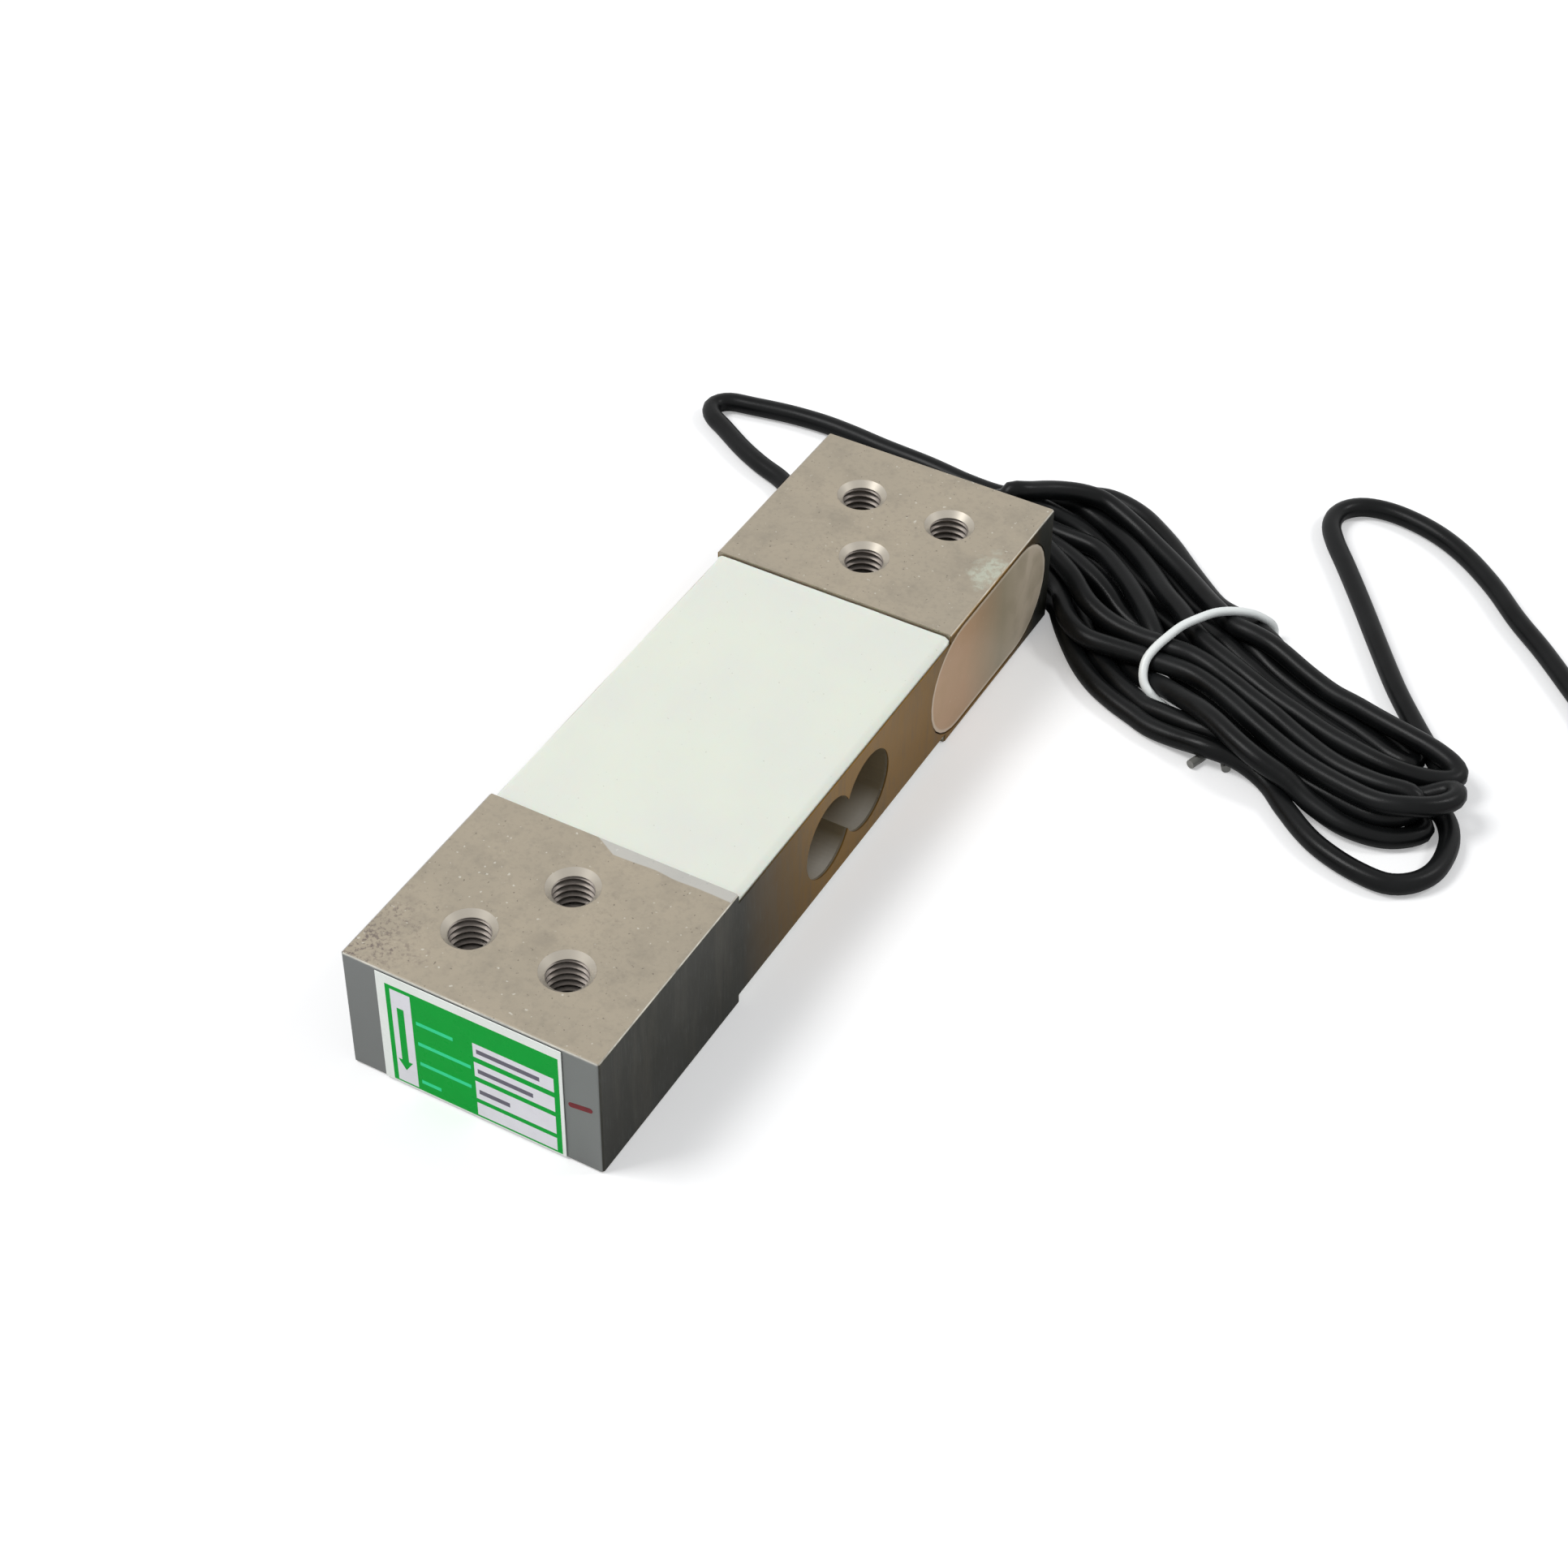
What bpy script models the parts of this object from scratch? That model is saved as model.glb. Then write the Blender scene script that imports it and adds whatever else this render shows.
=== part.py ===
"""A single-point strain gauge load cell with its cable folded into a tied hank.

X runs across the beam, Y along it from the labelled load end (near, -Y) to the cable end (far, +Y),
and Z is up. The origin is at the centre of the beam's underside, on the surface that it stands on.
The beam is milled from one bar. Two overlapping cross bores leave thin webs above and below, and the
foil gauges sit on those webs, in shallow recesses that are filled with silicone. The wiring pocket in
the side joins the gauges to the cable and is filled with potting compound.
"""

import math

import bmesh
import bpy
from mathutils import Euler, Matrix, Vector

MM = 0.001

# Fits between pieces
seat_gap = 0.3 * MM
bond_line = 0.1 * MM
cut_past = 2.0 * MM

# Beam
beam_width = 45.0 * MM
beam_length = 150.0 * MM
beam_height = 24.0 * MM
edge_break = 0.4 * MM

# Tapped holes, cut to the root of an M8 thread and countersunk at both faces
thread_root = 8.0 * MM
countersink = 8.8 * MM
hole_pair_spacing = 17.2 * MM
hole_pair_from_end = 13.5 * MM
hole_single_from_end = 28.7 * MM
hole_sides = 40

# Cross bores of the spring element
cross_bore = 14.5 * MM
cross_bore_spacing = 13.0 * MM
cross_bore_sides = 56

# Gauge recesses, on the top and on the underside
recess_length = 70.4 * MM
recess_depth = 2.0 * MM
coat_below_face = 1.0 * MM
coat_side_inset = 0.3 * MM
coat_rounding = 0.25 * MM

# Gauges and solder terminals on the recess floor
gauge_width = 6.4 * MM
gauge_length = 8.0 * MM
foil_thickness = 0.2 * MM
terminal_width = 4.0 * MM
terminal_length = 10.0 * MM
terminal_offset = 13.0 * MM
loom_diameter = 0.5 * MM
loom_drill = 2.2 * MM
loom_straight = 5.0 * MM
loom_spacing = 1.2 * MM
loom_from_recess_end = 2.0 * MM
loom_from_pocket_end = 4.3 * MM
loom_from_board_edge = 1.4 * MM
loom_on_board = 2.0 * MM

# Wiring pocket in the +X side
pocket_length = 44.0 * MM
pocket_height = 22.0 * MM
pocket_depth = 8.0 * MM
pocket_from_end = 2.0 * MM
potting_below_face = 0.1 * MM
potting_past_parts = 0.5 * MM
round_end_steps = 14

# Junction board and what is soldered to it
board_height = 12.0 * MM
board_thickness = 1.0 * MM
board_from_loom = 2.8 * MM
board_from_cable = 4.4 * MM
resistor_diameter = 1.6 * MM
resistor_length = 4.2 * MM
resistor_pitch = 4.0 * MM
resistors_from_middle = 1.5 * MM
lead_rounding = 0.3 * MM
core_diameter = 1.0 * MM
core_offset = 0.75 * MM
core_bow = 0.5 * MM
core_run = 1.3 * MM
core_first_climb = 0.15
core_next_climb = 0.6
core_spacing = 1.5 * MM
core_from_board_edge = 1.0 * MM

# Cable
cable_diameter = 3.6 * MM
exit_height = 9.0 * MM
sheath_in_pocket = 1.0 * MM
route_spacing = 6.6 * MM
seal_diameter = 9.2 * MM
seal_height = 1.8 * MM
seal_lip = 0.4 * MM

# Hank of cable and the wire tie round its waist
hank_height = 8.6 * MM
hank_rounding = 2.0 * MM
hank_rounding_steps = 3
outline_spacing = 3.4 * MM
tie_diameter = 1.6 * MM
tie_spacing = 1.7 * MM
tie_slot_from = 2.0 * MM

# Free end
sleeve_diameter = 3.9 * MM
sleeve_length = 10.0 * MM
conductor_diameter = 1.1 * MM
conductor_length = 28.0 * MM
conductor_circle = 1.2 * MM
fan_steps = 6
fan_first = 0.4
fan_turn_within = 1 / 3
fan_drop_within = 0.625
tip_diameter = 0.7 * MM
tip_length = 6.0 * MM
drain_diameter = 0.9 * MM
drain_length = 24.0 * MM
fan_turn = math.radians(15.0)

# Label on the near end
label_width = 32.4 * MM
label_height = 23.0 * MM
label_thickness = 0.2 * MM
label_raise = 0.5 * MM

# Points that the cable follows where it isn't folded, in millimetres
lead_route = [
    (-22.5, 53.9, 9.0), (-26.0, 54.1, 8.6), (-29.6, 55.7, 7.2), (-32.6, 59.3, 5.0), (-34.2, 64.2, 3.0),
    (-34.6, 70.0, 2.0), (-34.8, 76.0, 1.8), (-36.6, 81.2, 1.8), (-40.6, 85.2, 1.8), (-46.3, 87.8, 1.8),
    (-53.0, 89.9, 1.8), (-59.0, 92.1, 1.8), (-62.3, 96.4, 1.8), (-61.2, 101.6, 1.8), (-56.2, 104.3, 1.8),
    (-48.5, 104.9, 1.8), (-39.0, 105.6, 1.8), (-28.6, 105.8, 1.8), (-17.5, 104.8, 1.8), (-5.8, 103.0, 1.8),
]
loop_route = [
    (76.4, 51.0, 1.8), (79.9, 48.2, 1.8), (83.4, 45.0, 1.8), (87.4, 42.2, 1.8), (92.5, 40.1, 1.8),
    (97.1, 39.1, 1.8), (101.3, 39.1, 1.8), (104.7, 41.3, 1.8), (106.8, 45.1, 1.8), (107.2, 50.3, 1.8),
    (106.6, 53.6, 1.8),
]
tail_route = [
    (93.8, 74.9, 1.8), (90.2, 79.2, 1.8), (85.2, 85.3, 1.8), (78.7, 94.2, 1.8), (71.4, 104.4, 1.8),
    (64.6, 113.6, 1.8), (60.2, 119.6, 1.8), (57.8, 124.2, 1.8), (57.6, 128.8, 1.8), (60.2, 132.5, 1.8),
    (64.8, 134.0, 1.8), (70.5, 133.2, 1.8), (76.5, 131.0, 1.8), (82.6, 127.5, 1.8), (90.2, 121.3, 1.8),
    (97.3, 114.2, 1.8), (103.7, 108.6, 1.8), (110.3, 102.2, 1.8), (116.5, 95.8, 1.8), (121.5, 88.8, 1.8),
    (125.0, 81.0, 1.8), (127.0, 73.5, 1.8),
]

# Outline of the folded part of the cable, seen from above, in millimetres
hank_outline = [
    (106.4, 60.4), (106.2, 64.6), (104.6, 68.2), (101.0, 71.0), (97.2, 73.0), (91.4, 73.5), (84.8, 76.0),
    (75.6, 79.8), (67.0, 84.0), (58.8, 88.6), (48.6, 93.6), (43.8, 97.4), (39.0, 101.4), (34.2, 105.2),
    (29.2, 108.6), (24.0, 110.8), (19.0, 111.6), (13.0, 109.4), (7.0, 106.0), (0.6, 104.8), (-5.2, 104.6),
    (-5.4, 101.0), (-4.8, 96.0), (-3.6, 91.0), (-0.4, 87.6), (4.0, 84.2), (9.4, 81.4), (15.0, 79.2),
    (21.0, 77.6), (25.2, 75.4), (27.8, 66.6), (31.9, 61.9), (36.7, 58.3), (41.9, 55.1), (47.8, 53.2),
    (54.2, 51.7), (61.0, 50.5), (68.0, 50.8), (72.4, 51.2), (76.2, 53.2), (81.0, 51.8), (85.2, 48.8),
    (89.4, 46.9), (93.8, 47.0), (98.4, 48.4), (102.2, 51.2), (104.6, 54.2), (106.6, 56.6),
]

# The tie, from one of its two ends over the hank's waist and back under it, in millimetres
tie_route = [
    (61.5, 50.4, 0.85), (62.8, 54.6, 0.85), (62.6, 56.4, 0.85), (60.0, 58.0, 0.85), (55.6, 59.9, 0.95),
    (52.4, 61.0, 1.4), (50.4, 61.2, 2.2), (48.9, 61.4, 3.1), (47.5, 62.0, 4.0), (46.6, 63.0, 5.2),
    (46.1, 65.0, 6.8), (46.6, 67.3, 8.0), (47.7, 70.3, 9.0), (48.9, 73.5, 9.6), (50.6, 76.7, 9.7),
    (52.3, 80.0, 9.3), (54.4, 83.0, 8.4), (57.4, 86.3, 6.6), (59.4, 88.0, 4.8), (60.4, 89.0, 3.2),
    (60.8, 89.0, 1.6), (60.8, 87.0, 0.95), (60.8, 80.0, 0.85), (61.8, 72.0, 0.85), (63.4, 64.0, 0.85),
    (64.7, 58.0, 0.85), (65.6, 55.4, 0.85), (67.3, 52.4, 0.85),
]

# Places that follow from the sizes above
half_width = beam_width / 2
half_length = beam_length / 2
mid_height = beam_height / 2
floor_level = mid_height - recess_depth
coat_level = mid_height - coat_below_face
pocket_floor = half_width - pocket_depth
pocket_centre_y = half_length - pocket_from_end - pocket_length / 2
pocket_near_y = pocket_centre_y - pocket_length / 2
exit_y = half_length - (hole_pair_from_end + hole_single_from_end) / 2
loom_x = pocket_floor + seat_gap + loom_drill
loom_recess_y = recess_length / 2 - loom_from_recess_end
loom_pocket_y = pocket_near_y + loom_from_pocket_end
loom_board_level = board_height / 2 - loom_from_board_edge
board_top_x = pocket_floor + seat_gap + board_thickness
board_near_y = loom_pocket_y + board_from_loom
board_far_y = exit_y - board_from_cable

# Turns an outline drawn in XY so that it faces +X, with its X along world Y
facing_x = Matrix(((0, 0, 1), (1, 0, 0), (0, 1, 0))).to_euler()
along_axis = {"X": Euler((0, math.pi / 2, 0)), "Y": Euler((math.pi / 2, 0, 0)), "Z": Euler((0, 0, 0))}

parts = None
cutters = None


def clear_scene():
    for obj in list(bpy.data.objects):
        bpy.data.objects.remove(obj, do_unlink=True)


def new_collection(name):
    group = bpy.data.collections.new(name)
    bpy.context.scene.collection.children.link(group)
    return group


def material(name, colour, roughness, metallic=0.0):
    found = bpy.data.materials.get(name)
    if found:
        return found
    made = bpy.data.materials.new(name)
    made.use_nodes = True
    shader = made.node_tree.nodes["Principled BSDF"]
    shader.inputs["Base Color"].default_value = (*colour, 1.0)
    shader.inputs["Roughness"].default_value = roughness
    shader.inputs["Metallic"].default_value = metallic
    made.diffuse_color = (*colour, 1.0)
    return made


def aluminium():
    return material("milled_aluminium", (0.66, 0.63, 0.58), 0.34, 1.0)


def silicone():
    return material("white_silicone", (0.82, 0.84, 0.79), 0.38)


def potting():
    return material("potting_compound", (0.42, 0.33, 0.26), 0.45)


def foil():
    return material("gauge_foil", (0.62, 0.44, 0.16), 0.4)


def circuit_board():
    return material("circuit_board", (0.05, 0.26, 0.12), 0.5)


def resistor_body():
    return material("resistor_body", (0.30, 0.42, 0.55), 0.4)


def cable_sheath():
    return material("black_sheath", (0.02, 0.02, 0.02), 0.45)


def tie_plastic():
    return material("white_tie", (0.80, 0.80, 0.76), 0.4)


def label_print():
    return material("label", (0.04, 0.42, 0.16), 0.35)


def tinned_copper():
    return material("tinned_copper", (0.70, 0.69, 0.66), 0.3, 1.0)


def insulation(name):
    colours = {
        "red": (0.55, 0.03, 0.03),
        "black": (0.02, 0.02, 0.02),
        "green": (0.03, 0.30, 0.08),
        "white": (0.78, 0.78, 0.75),
    }
    return material("insulation_" + name, colours[name], 0.4)


def as_part(obj, made_of):
    parts.objects.link(obj)
    obj.data.materials.clear()
    obj.data.materials.append(made_of)
    if obj.type == "MESH":
        obj.data.shade_smooth()
        obj.data.set_sharp_from_angle(angle=math.radians(35.0))
    return obj


def as_cutter(obj):
    cutters.objects.link(obj)
    obj.hide_render = True
    obj.display_type = "WIRE"
    return obj


def cut(obj, cutter):
    step = obj.modifiers.new(cutter.name, "BOOLEAN")
    step.operation = "DIFFERENCE"
    step.solver = "EXACT"
    step.object = cutter


def mesh_object(name, shape):
    mesh = bpy.data.meshes.new(name)
    shape.to_mesh(mesh)
    shape.free()
    return bpy.data.objects.new(name, mesh)


def block(name, size, centre):
    shape = bmesh.new()
    bmesh.ops.create_cube(shape, size=1.0)
    bmesh.ops.scale(shape, vec=size, verts=shape.verts)
    obj = mesh_object(name, shape)
    obj.location = centre
    return obj


def rod(name, diameter, length, centre, axis="Z", sides=24):
    shape = bmesh.new()
    bmesh.ops.create_cone(
        shape, cap_ends=True, segments=sides, radius1=diameter / 2, radius2=diameter / 2, depth=length
    )
    obj = mesh_object(name, shape)
    obj.rotation_euler = along_axis[axis]
    obj.location = centre
    return obj


def turned(name, profile, steps, closed=False):
    """Turns a profile of (radius, height) points, listed from top to bottom, about its Z axis."""
    shape = bmesh.new()
    verts = [shape.verts.new((radius, 0, height)) for radius, height in profile]
    for first, second in zip(verts, verts[1:]):
        shape.edges.new((first, second))
    if closed:
        shape.edges.new((verts[-1], verts[0]))
    obj = mesh_object(name, shape)
    screw = obj.modifiers.new("turn", "SCREW")
    screw.steps = steps
    screw.render_steps = steps
    screw.use_merge_vertices = True
    screw.merge_threshold = 0.00001
    screw.use_smooth_shade = True
    return obj


def round_edges(obj, width, segments, angle=40.0):
    step = obj.modifiers.new("edges", "BEVEL")
    step.width = width
    step.segments = segments
    step.limit_method = "ANGLE"
    step.angle_limit = math.radians(angle)


def made_mesh(source):
    """The mesh that a curve object makes, with its caps welded to its sides."""
    bpy.context.scene.collection.objects.link(source)
    graph = bpy.context.evaluated_depsgraph_get()
    mesh = bpy.data.meshes.new_from_object(source.evaluated_get(graph))
    shape = bmesh.new()
    shape.from_mesh(mesh)
    bmesh.ops.remove_doubles(shape, verts=shape.verts, dist=0.000005)
    bmesh.ops.recalc_face_normals(shape, faces=shape.faces)
    shape.to_mesh(mesh)
    shape.free()
    name = source.name
    placed = source.matrix_world.copy()
    bpy.data.objects.remove(source)
    obj = bpy.data.objects.new(name, mesh)
    obj.matrix_world = placed
    return obj


def plate(name, outlines, thickness):
    """A flat piece in XY, centred on Z = 0, from closed outlines of (x, y) points."""
    curve = bpy.data.curves.new(name, "CURVE")
    curve.dimensions = "2D"
    curve.fill_mode = "BOTH"
    curve.extrude = thickness / 2
    for outline in outlines:
        spline = curve.splines.new("POLY")
        spline.points.add(len(outline) - 1)
        for point, (x, y) in zip(spline.points, outline):
            point.co = (x, y, 0, 1)
        spline.use_cyclic_u = True
    return made_mesh(bpy.data.objects.new(name, curve))


def tube(name, points, diameter, resolution=2):
    """A wire through the points, as a curve with a round section and filled caps."""
    curve = bpy.data.curves.new(name, "CURVE")
    curve.dimensions = "3D"
    curve.bevel_depth = diameter / 2
    curve.bevel_resolution = resolution
    curve.use_fill_caps = True
    spline = curve.splines.new("POLY")
    spline.points.add(len(points) - 1)
    for point, place in zip(spline.points, points):
        point.co = (*place, 1)
    spline.use_smooth = True
    return bpy.data.objects.new(name, curve)


def obround(length, height):
    """Outline of a slot with round ends, lengthways along X."""
    radius = height / 2
    reach = length / 2 - radius
    points = []
    for side, start in ((1, -math.pi / 2), (-1, math.pi / 2)):
        for step in range(round_end_steps + 1):
            angle = start + math.pi * step / round_end_steps
            points.append((side * reach + radius * math.cos(angle), radius * math.sin(angle)))
    return points


def smooth_points(points, spacing, closed=False):
    """Evenly spaced points on a smooth curve through the given ones."""
    places = [Vector(p) for p in points]
    if closed:
        places = [places[-1]] + places + places[:2]
    else:
        places = [2 * places[0] - places[1]] + places + [2 * places[-1] - places[-2]]
    dense = []
    for before, start, end, after in zip(places, places[1:], places[2:], places[3:]):
        dense += catmull_rom(before, start, end, after, 10)
    if not closed:
        dense.append(places[-2])
    return evenly(dense, spacing, closed)


def catmull_rom(before, start, end, after, steps):
    """One stretch of a centripetal Catmull-Rom curve, from start up to end."""
    at = [0.0]
    for first, second in ((before, start), (start, end), (end, after)):
        at.append(at[-1] + math.sqrt((second - first).length))
    stretch = []
    for step in range(steps):
        t = at[1] + (at[2] - at[1]) * step / steps
        a = before.lerp(start, (t - at[0]) / (at[1] - at[0]))
        b = start.lerp(end, (t - at[1]) / (at[2] - at[1]))
        c = end.lerp(after, (t - at[2]) / (at[3] - at[2]))
        d = a.lerp(b, (t - at[0]) / (at[2] - at[0]))
        e = b.lerp(c, (t - at[1]) / (at[3] - at[1]))
        stretch.append(d.lerp(e, (t - at[1]) / (at[2] - at[1])))
    return stretch


def evenly(points, spacing, closed):
    """The same line as a whole number of equal steps of about the spacing."""
    line = points + points[:1] if closed else points
    lengths = [(b - a).length for a, b in zip(line, line[1:])]
    count = max(2, round(sum(lengths) / spacing))
    step = sum(lengths) / count
    places = [line[0]]
    passed = 0.0
    for a, b, length in zip(line, line[1:], lengths):
        while len(places) < count and step * len(places) <= passed + length:
            places.append(a.lerp(b, (step * len(places) - passed) / length))
        passed += length
    if not closed:
        places.append(line[-1])
    return places


def in_metres(points):
    return [Vector(p) * MM for p in points]


def hole_places():
    """Centres of the tapped holes, three at each end of the beam."""
    places = []
    for end in (-1, 1):
        pair_y = end * (half_length - hole_pair_from_end)
        places.append((-hole_pair_spacing / 2, pair_y))
        places.append((hole_pair_spacing / 2, pair_y))
        places.append((0.0, end * (half_length - hole_single_from_end)))
    return places


def tapped_hole_cutter(index, x, y):
    root = thread_root / 2
    mouth = countersink / 2
    top = mid_height + cut_past
    neck = mid_height - (mouth - root)
    wide = mouth + cut_past
    profile = [(0, top), (wide, top), (root, neck), (root, -neck), (wide, -top), (0, -top)]
    cutter = turned(f"cut_tapped_hole_{index}", profile, hole_sides)
    cutter.location = (x, y, mid_height)
    return as_cutter(cutter)


def recess_cutter(name, side):
    depth = recess_depth + cut_past
    centre = (0, 0, mid_height + side * (floor_level + depth / 2))
    return as_cutter(block(name, (beam_width + 2 * cut_past, recess_length, depth), centre))


def cross_bore_cutter(name, end):
    centre = (0, end * cross_bore_spacing / 2, mid_height)
    length = beam_width + 2 * cut_past
    return as_cutter(rod(name, cross_bore, length, centre, "X", cross_bore_sides))


def pocket_cutter():
    cutter = plate("cut_pocket", [obround(pocket_length, pocket_height)], pocket_depth + cut_past)
    cutter.rotation_euler = facing_x
    cutter.location = (pocket_floor + (pocket_depth + cut_past) / 2, pocket_centre_y, mid_height)
    return as_cutter(cutter)


def cable_bore_cutter():
    start = -half_width - cut_past
    end = pocket_floor + cut_past
    centre = ((start + end) / 2, exit_y, exit_height)
    return as_cutter(rod("cut_cable_bore", cable_diameter + 2 * seat_gap, end - start, centre, "X", 32))


def loom_drill_cutter(name, side):
    """A hole drilled from the end of a recess into the near end of the pocket, slanted if they lie apart."""
    mouth = Vector((loom_x, loom_recess_y, mid_height + side * floor_level))
    end = Vector((loom_x, loom_pocket_y, mid_height + side * loom_board_level))
    way = end - mouth
    drill = rod(name, loom_drill, way.length + 2 * cut_past, (mouth + end) / 2, "Z", 16)
    drill.rotation_euler = way.to_track_quat("Z", "Y").to_euler()
    return as_cutter(drill)


def make_beam():
    beam = block("beam_body", (beam_width, beam_length, beam_height), (0, 0, mid_height))
    as_part(beam, aluminium())
    round_edges(beam, edge_break, 1)
    cut(beam, recess_cutter("cut_top_recess", 1))
    cut(beam, recess_cutter("cut_bottom_recess", -1))
    cut(beam, cross_bore_cutter("cut_cross_bore_near", -1))
    cut(beam, cross_bore_cutter("cut_cross_bore_far", 1))
    cut(beam, pocket_cutter())
    cut(beam, cable_bore_cutter())
    cut(beam, loom_drill_cutter("cut_loom_drill_top", 1))
    cut(beam, loom_drill_cutter("cut_loom_drill_bottom", -1))
    for index, (x, y) in enumerate(hole_places()):
        cut(beam, tapped_hole_cutter(index + 1, x, y))


def on_floor(thickness):
    """Height above the middle of the beam at which a thin piece sits on a recess floor."""
    return floor_level + bond_line + thickness / 2


def foil_piece(name, width, length, x, y, side, clearance=0.0):
    """A flat piece on the recess floor. With a clearance it is the space that the coat leaves for it."""
    size = (width + 2 * clearance, length + 2 * clearance, foil_thickness + 2 * clearance)
    return block(name, size, (x, y, mid_height + side * on_floor(foil_thickness)))


def loom_route(side):
    """From the solder terminals along the recess floor, through the drilled hole and onto the board."""
    low = on_floor(loom_diameter)
    start_y = terminal_length / 2 + seat_gap
    bend_y = loom_recess_y - loom_drill * 2
    rest_x = board_top_x + seat_gap + loom_diameter / 2
    mouth = Vector((loom_x, loom_recess_y, floor_level))
    end = Vector((loom_x, loom_pocket_y, loom_board_level + loom_diameter))
    points = [
        (terminal_offset, start_y, low),
        (terminal_offset, start_y + loom_straight, low),
        ((terminal_offset + loom_x) / 2, (start_y + loom_straight + bend_y) / 2, low),
        (loom_x, bend_y, low),
        (loom_x, loom_recess_y - loom_drill / 4, low),
        mouth.lerp(end, 0.15),
        mouth.lerp(end, 0.5),
        end,
        (rest_x, board_near_y - loom_diameter, loom_board_level),
        (rest_x, board_near_y + loom_on_board, loom_board_level),
    ]
    route = [Vector((x, y, mid_height + side * z)) for x, y, z in points]
    return smooth_points(route, loom_spacing)


def loom_space(name, side, clearance):
    """The room that a coat or the potting leaves round a loom."""
    route = loom_route(side)
    before = route[0] - Vector((0, seat_gap + 2 * clearance, 0))
    return as_cutter(made_mesh(tube(name, [before] + route, loom_diameter + 2 * clearance)))


def make_gauge_side(face, side):
    """The gauges, terminals, loom and silicone coat on one face of the beam."""
    places = {
        f"gauge_{face}_near": (gauge_width, gauge_length, 0.0, -cross_bore_spacing / 2),
        f"gauge_{face}_far": (gauge_width, gauge_length, 0.0, cross_bore_spacing / 2),
        f"{face}_terminal_strip": (terminal_width, terminal_length, terminal_offset, 0.0),
    }
    size = (
        beam_width - 2 * coat_side_inset,
        recess_length - 2 * seat_gap,
        coat_level - floor_level - bond_line,
    )
    middle = (coat_level + floor_level + bond_line) / 2
    coat = block(f"{face}_sealant", size, (0, 0, mid_height + side * middle))
    as_part(coat, silicone())
    round_edges(coat, coat_rounding, 1)
    for name, (width, length, x, y) in places.items():
        as_part(foil_piece(name, width, length, x, y, side), foil())
        space = foil_piece("space_" + name, width, length, x, y, side, clearance=bond_line * 2)
        cut(coat, as_cutter(space))
    as_part(tube(f"{face}_wire_loom", loom_route(side), loom_diameter), tinned_copper())
    cut(coat, loom_space(f"space_{face}_loom_in_coat", side, 2 * bond_line))


def make_junction_board():
    middle_y = (board_near_y + board_far_y) / 2
    size = (board_thickness, board_far_y - board_near_y, board_height)
    centre = (board_top_x - board_thickness / 2, middle_y, mid_height)
    as_part(block("junction_board", size, centre), circuit_board())
    x = board_top_x + seat_gap + resistor_diameter / 2
    for name, shift in (("span_resistor", -0.5), ("zero_resistor", 0.5)):
        centre = (x, middle_y + shift * resistor_pitch - resistors_from_middle, mid_height)
        resistor = rod(name, resistor_diameter, resistor_length, centre, "Z", 16)
        as_part(resistor, resistor_body())
        round_edges(resistor, lead_rounding, 1)


def make_inner_conductors():
    """The cable's cores, fanned out from the sheath's end in the pocket to the junction board."""
    start_x = pocket_floor + sheath_in_pocket + seat_gap
    end_x = board_top_x + seat_gap + core_diameter / 2
    end_y = board_far_y - core_from_board_edge
    fans = {
        "green": (-1, -1, 0.0),
        "black": (1, -1, -2.0),
        "white": (-1, 1, 2.0),
        "red": (1, 1, 4.0),
    }
    for name, (row, level, place) in fans.items():
        y = exit_y + row * core_offset
        z = exit_height + level * core_offset
        end_z = exit_height + place * core_diameter
        middle_x = end_x + core_bow * (1 + row / 2)
        points = [
            Vector((start_x, y, z)),
            Vector((start_x + core_diameter, y - core_bow / 2, z + core_first_climb * (end_z - z))),
            Vector((middle_x, y - core_run, z + core_next_climb * (end_z - z))),
            Vector((middle_x, end_y + core_run, end_z)),
            Vector((end_x, end_y, end_z)),
        ]
        wire = tube("inner_conductor_" + name, smooth_points(points, core_spacing), core_diameter)
        as_part(wire, insulation(name))


def make_potting():
    """The plug fills the pocket round the board, the sheath's end and the looms, and is open at its back."""
    back = pocket_floor + seat_gap
    thickness = half_width - potting_below_face - back
    outline = obround(pocket_length - 2 * seat_gap, pocket_height - 2 * seat_gap)
    plug = plate("potting_plug", [outline], thickness)
    plug.rotation_euler = facing_x
    plug.location = (back + thickness / 2, pocket_centre_y, mid_height)
    as_part(plug, potting())
    near = board_near_y - 3 * potting_past_parts
    far = exit_y + cable_diameter / 2 + seat_gap
    deep = board_top_x + seat_gap + resistor_diameter + 2 * potting_past_parts
    size = (deep - back + cut_past, far - near, board_height + 2 * potting_past_parts)
    hollow = block("space_board", size, ((deep + back - cut_past) / 2, (near + far) / 2, mid_height))
    cut(plug, as_cutter(hollow))
    cut(plug, loom_space("space_top_loom_in_potting", 1, seat_gap))
    cut(plug, loom_space("space_bottom_loom_in_potting", -1, seat_gap))


def make_label():
    y = -half_length - bond_line - label_thickness / 2
    z = label_raise + label_height / 2
    as_part(block("end_label", (label_width, label_thickness, label_height), (0, y, z)), label_print())


def make_cable():
    inside = [(pocket_floor + sheath_in_pocket, exit_y, exit_height), (0, exit_y, exit_height)]
    route = [Vector(p) for p in inside] + in_metres(lead_route)
    stretches = {
        "cable_lead": route,
        "cable_loop": in_metres(loop_route),
        "cable_tail": in_metres(tail_route),
    }
    for name, points in stretches.items():
        as_part(tube(name, smooth_points(points, route_spacing), cable_diameter), cable_sheath())


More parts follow.
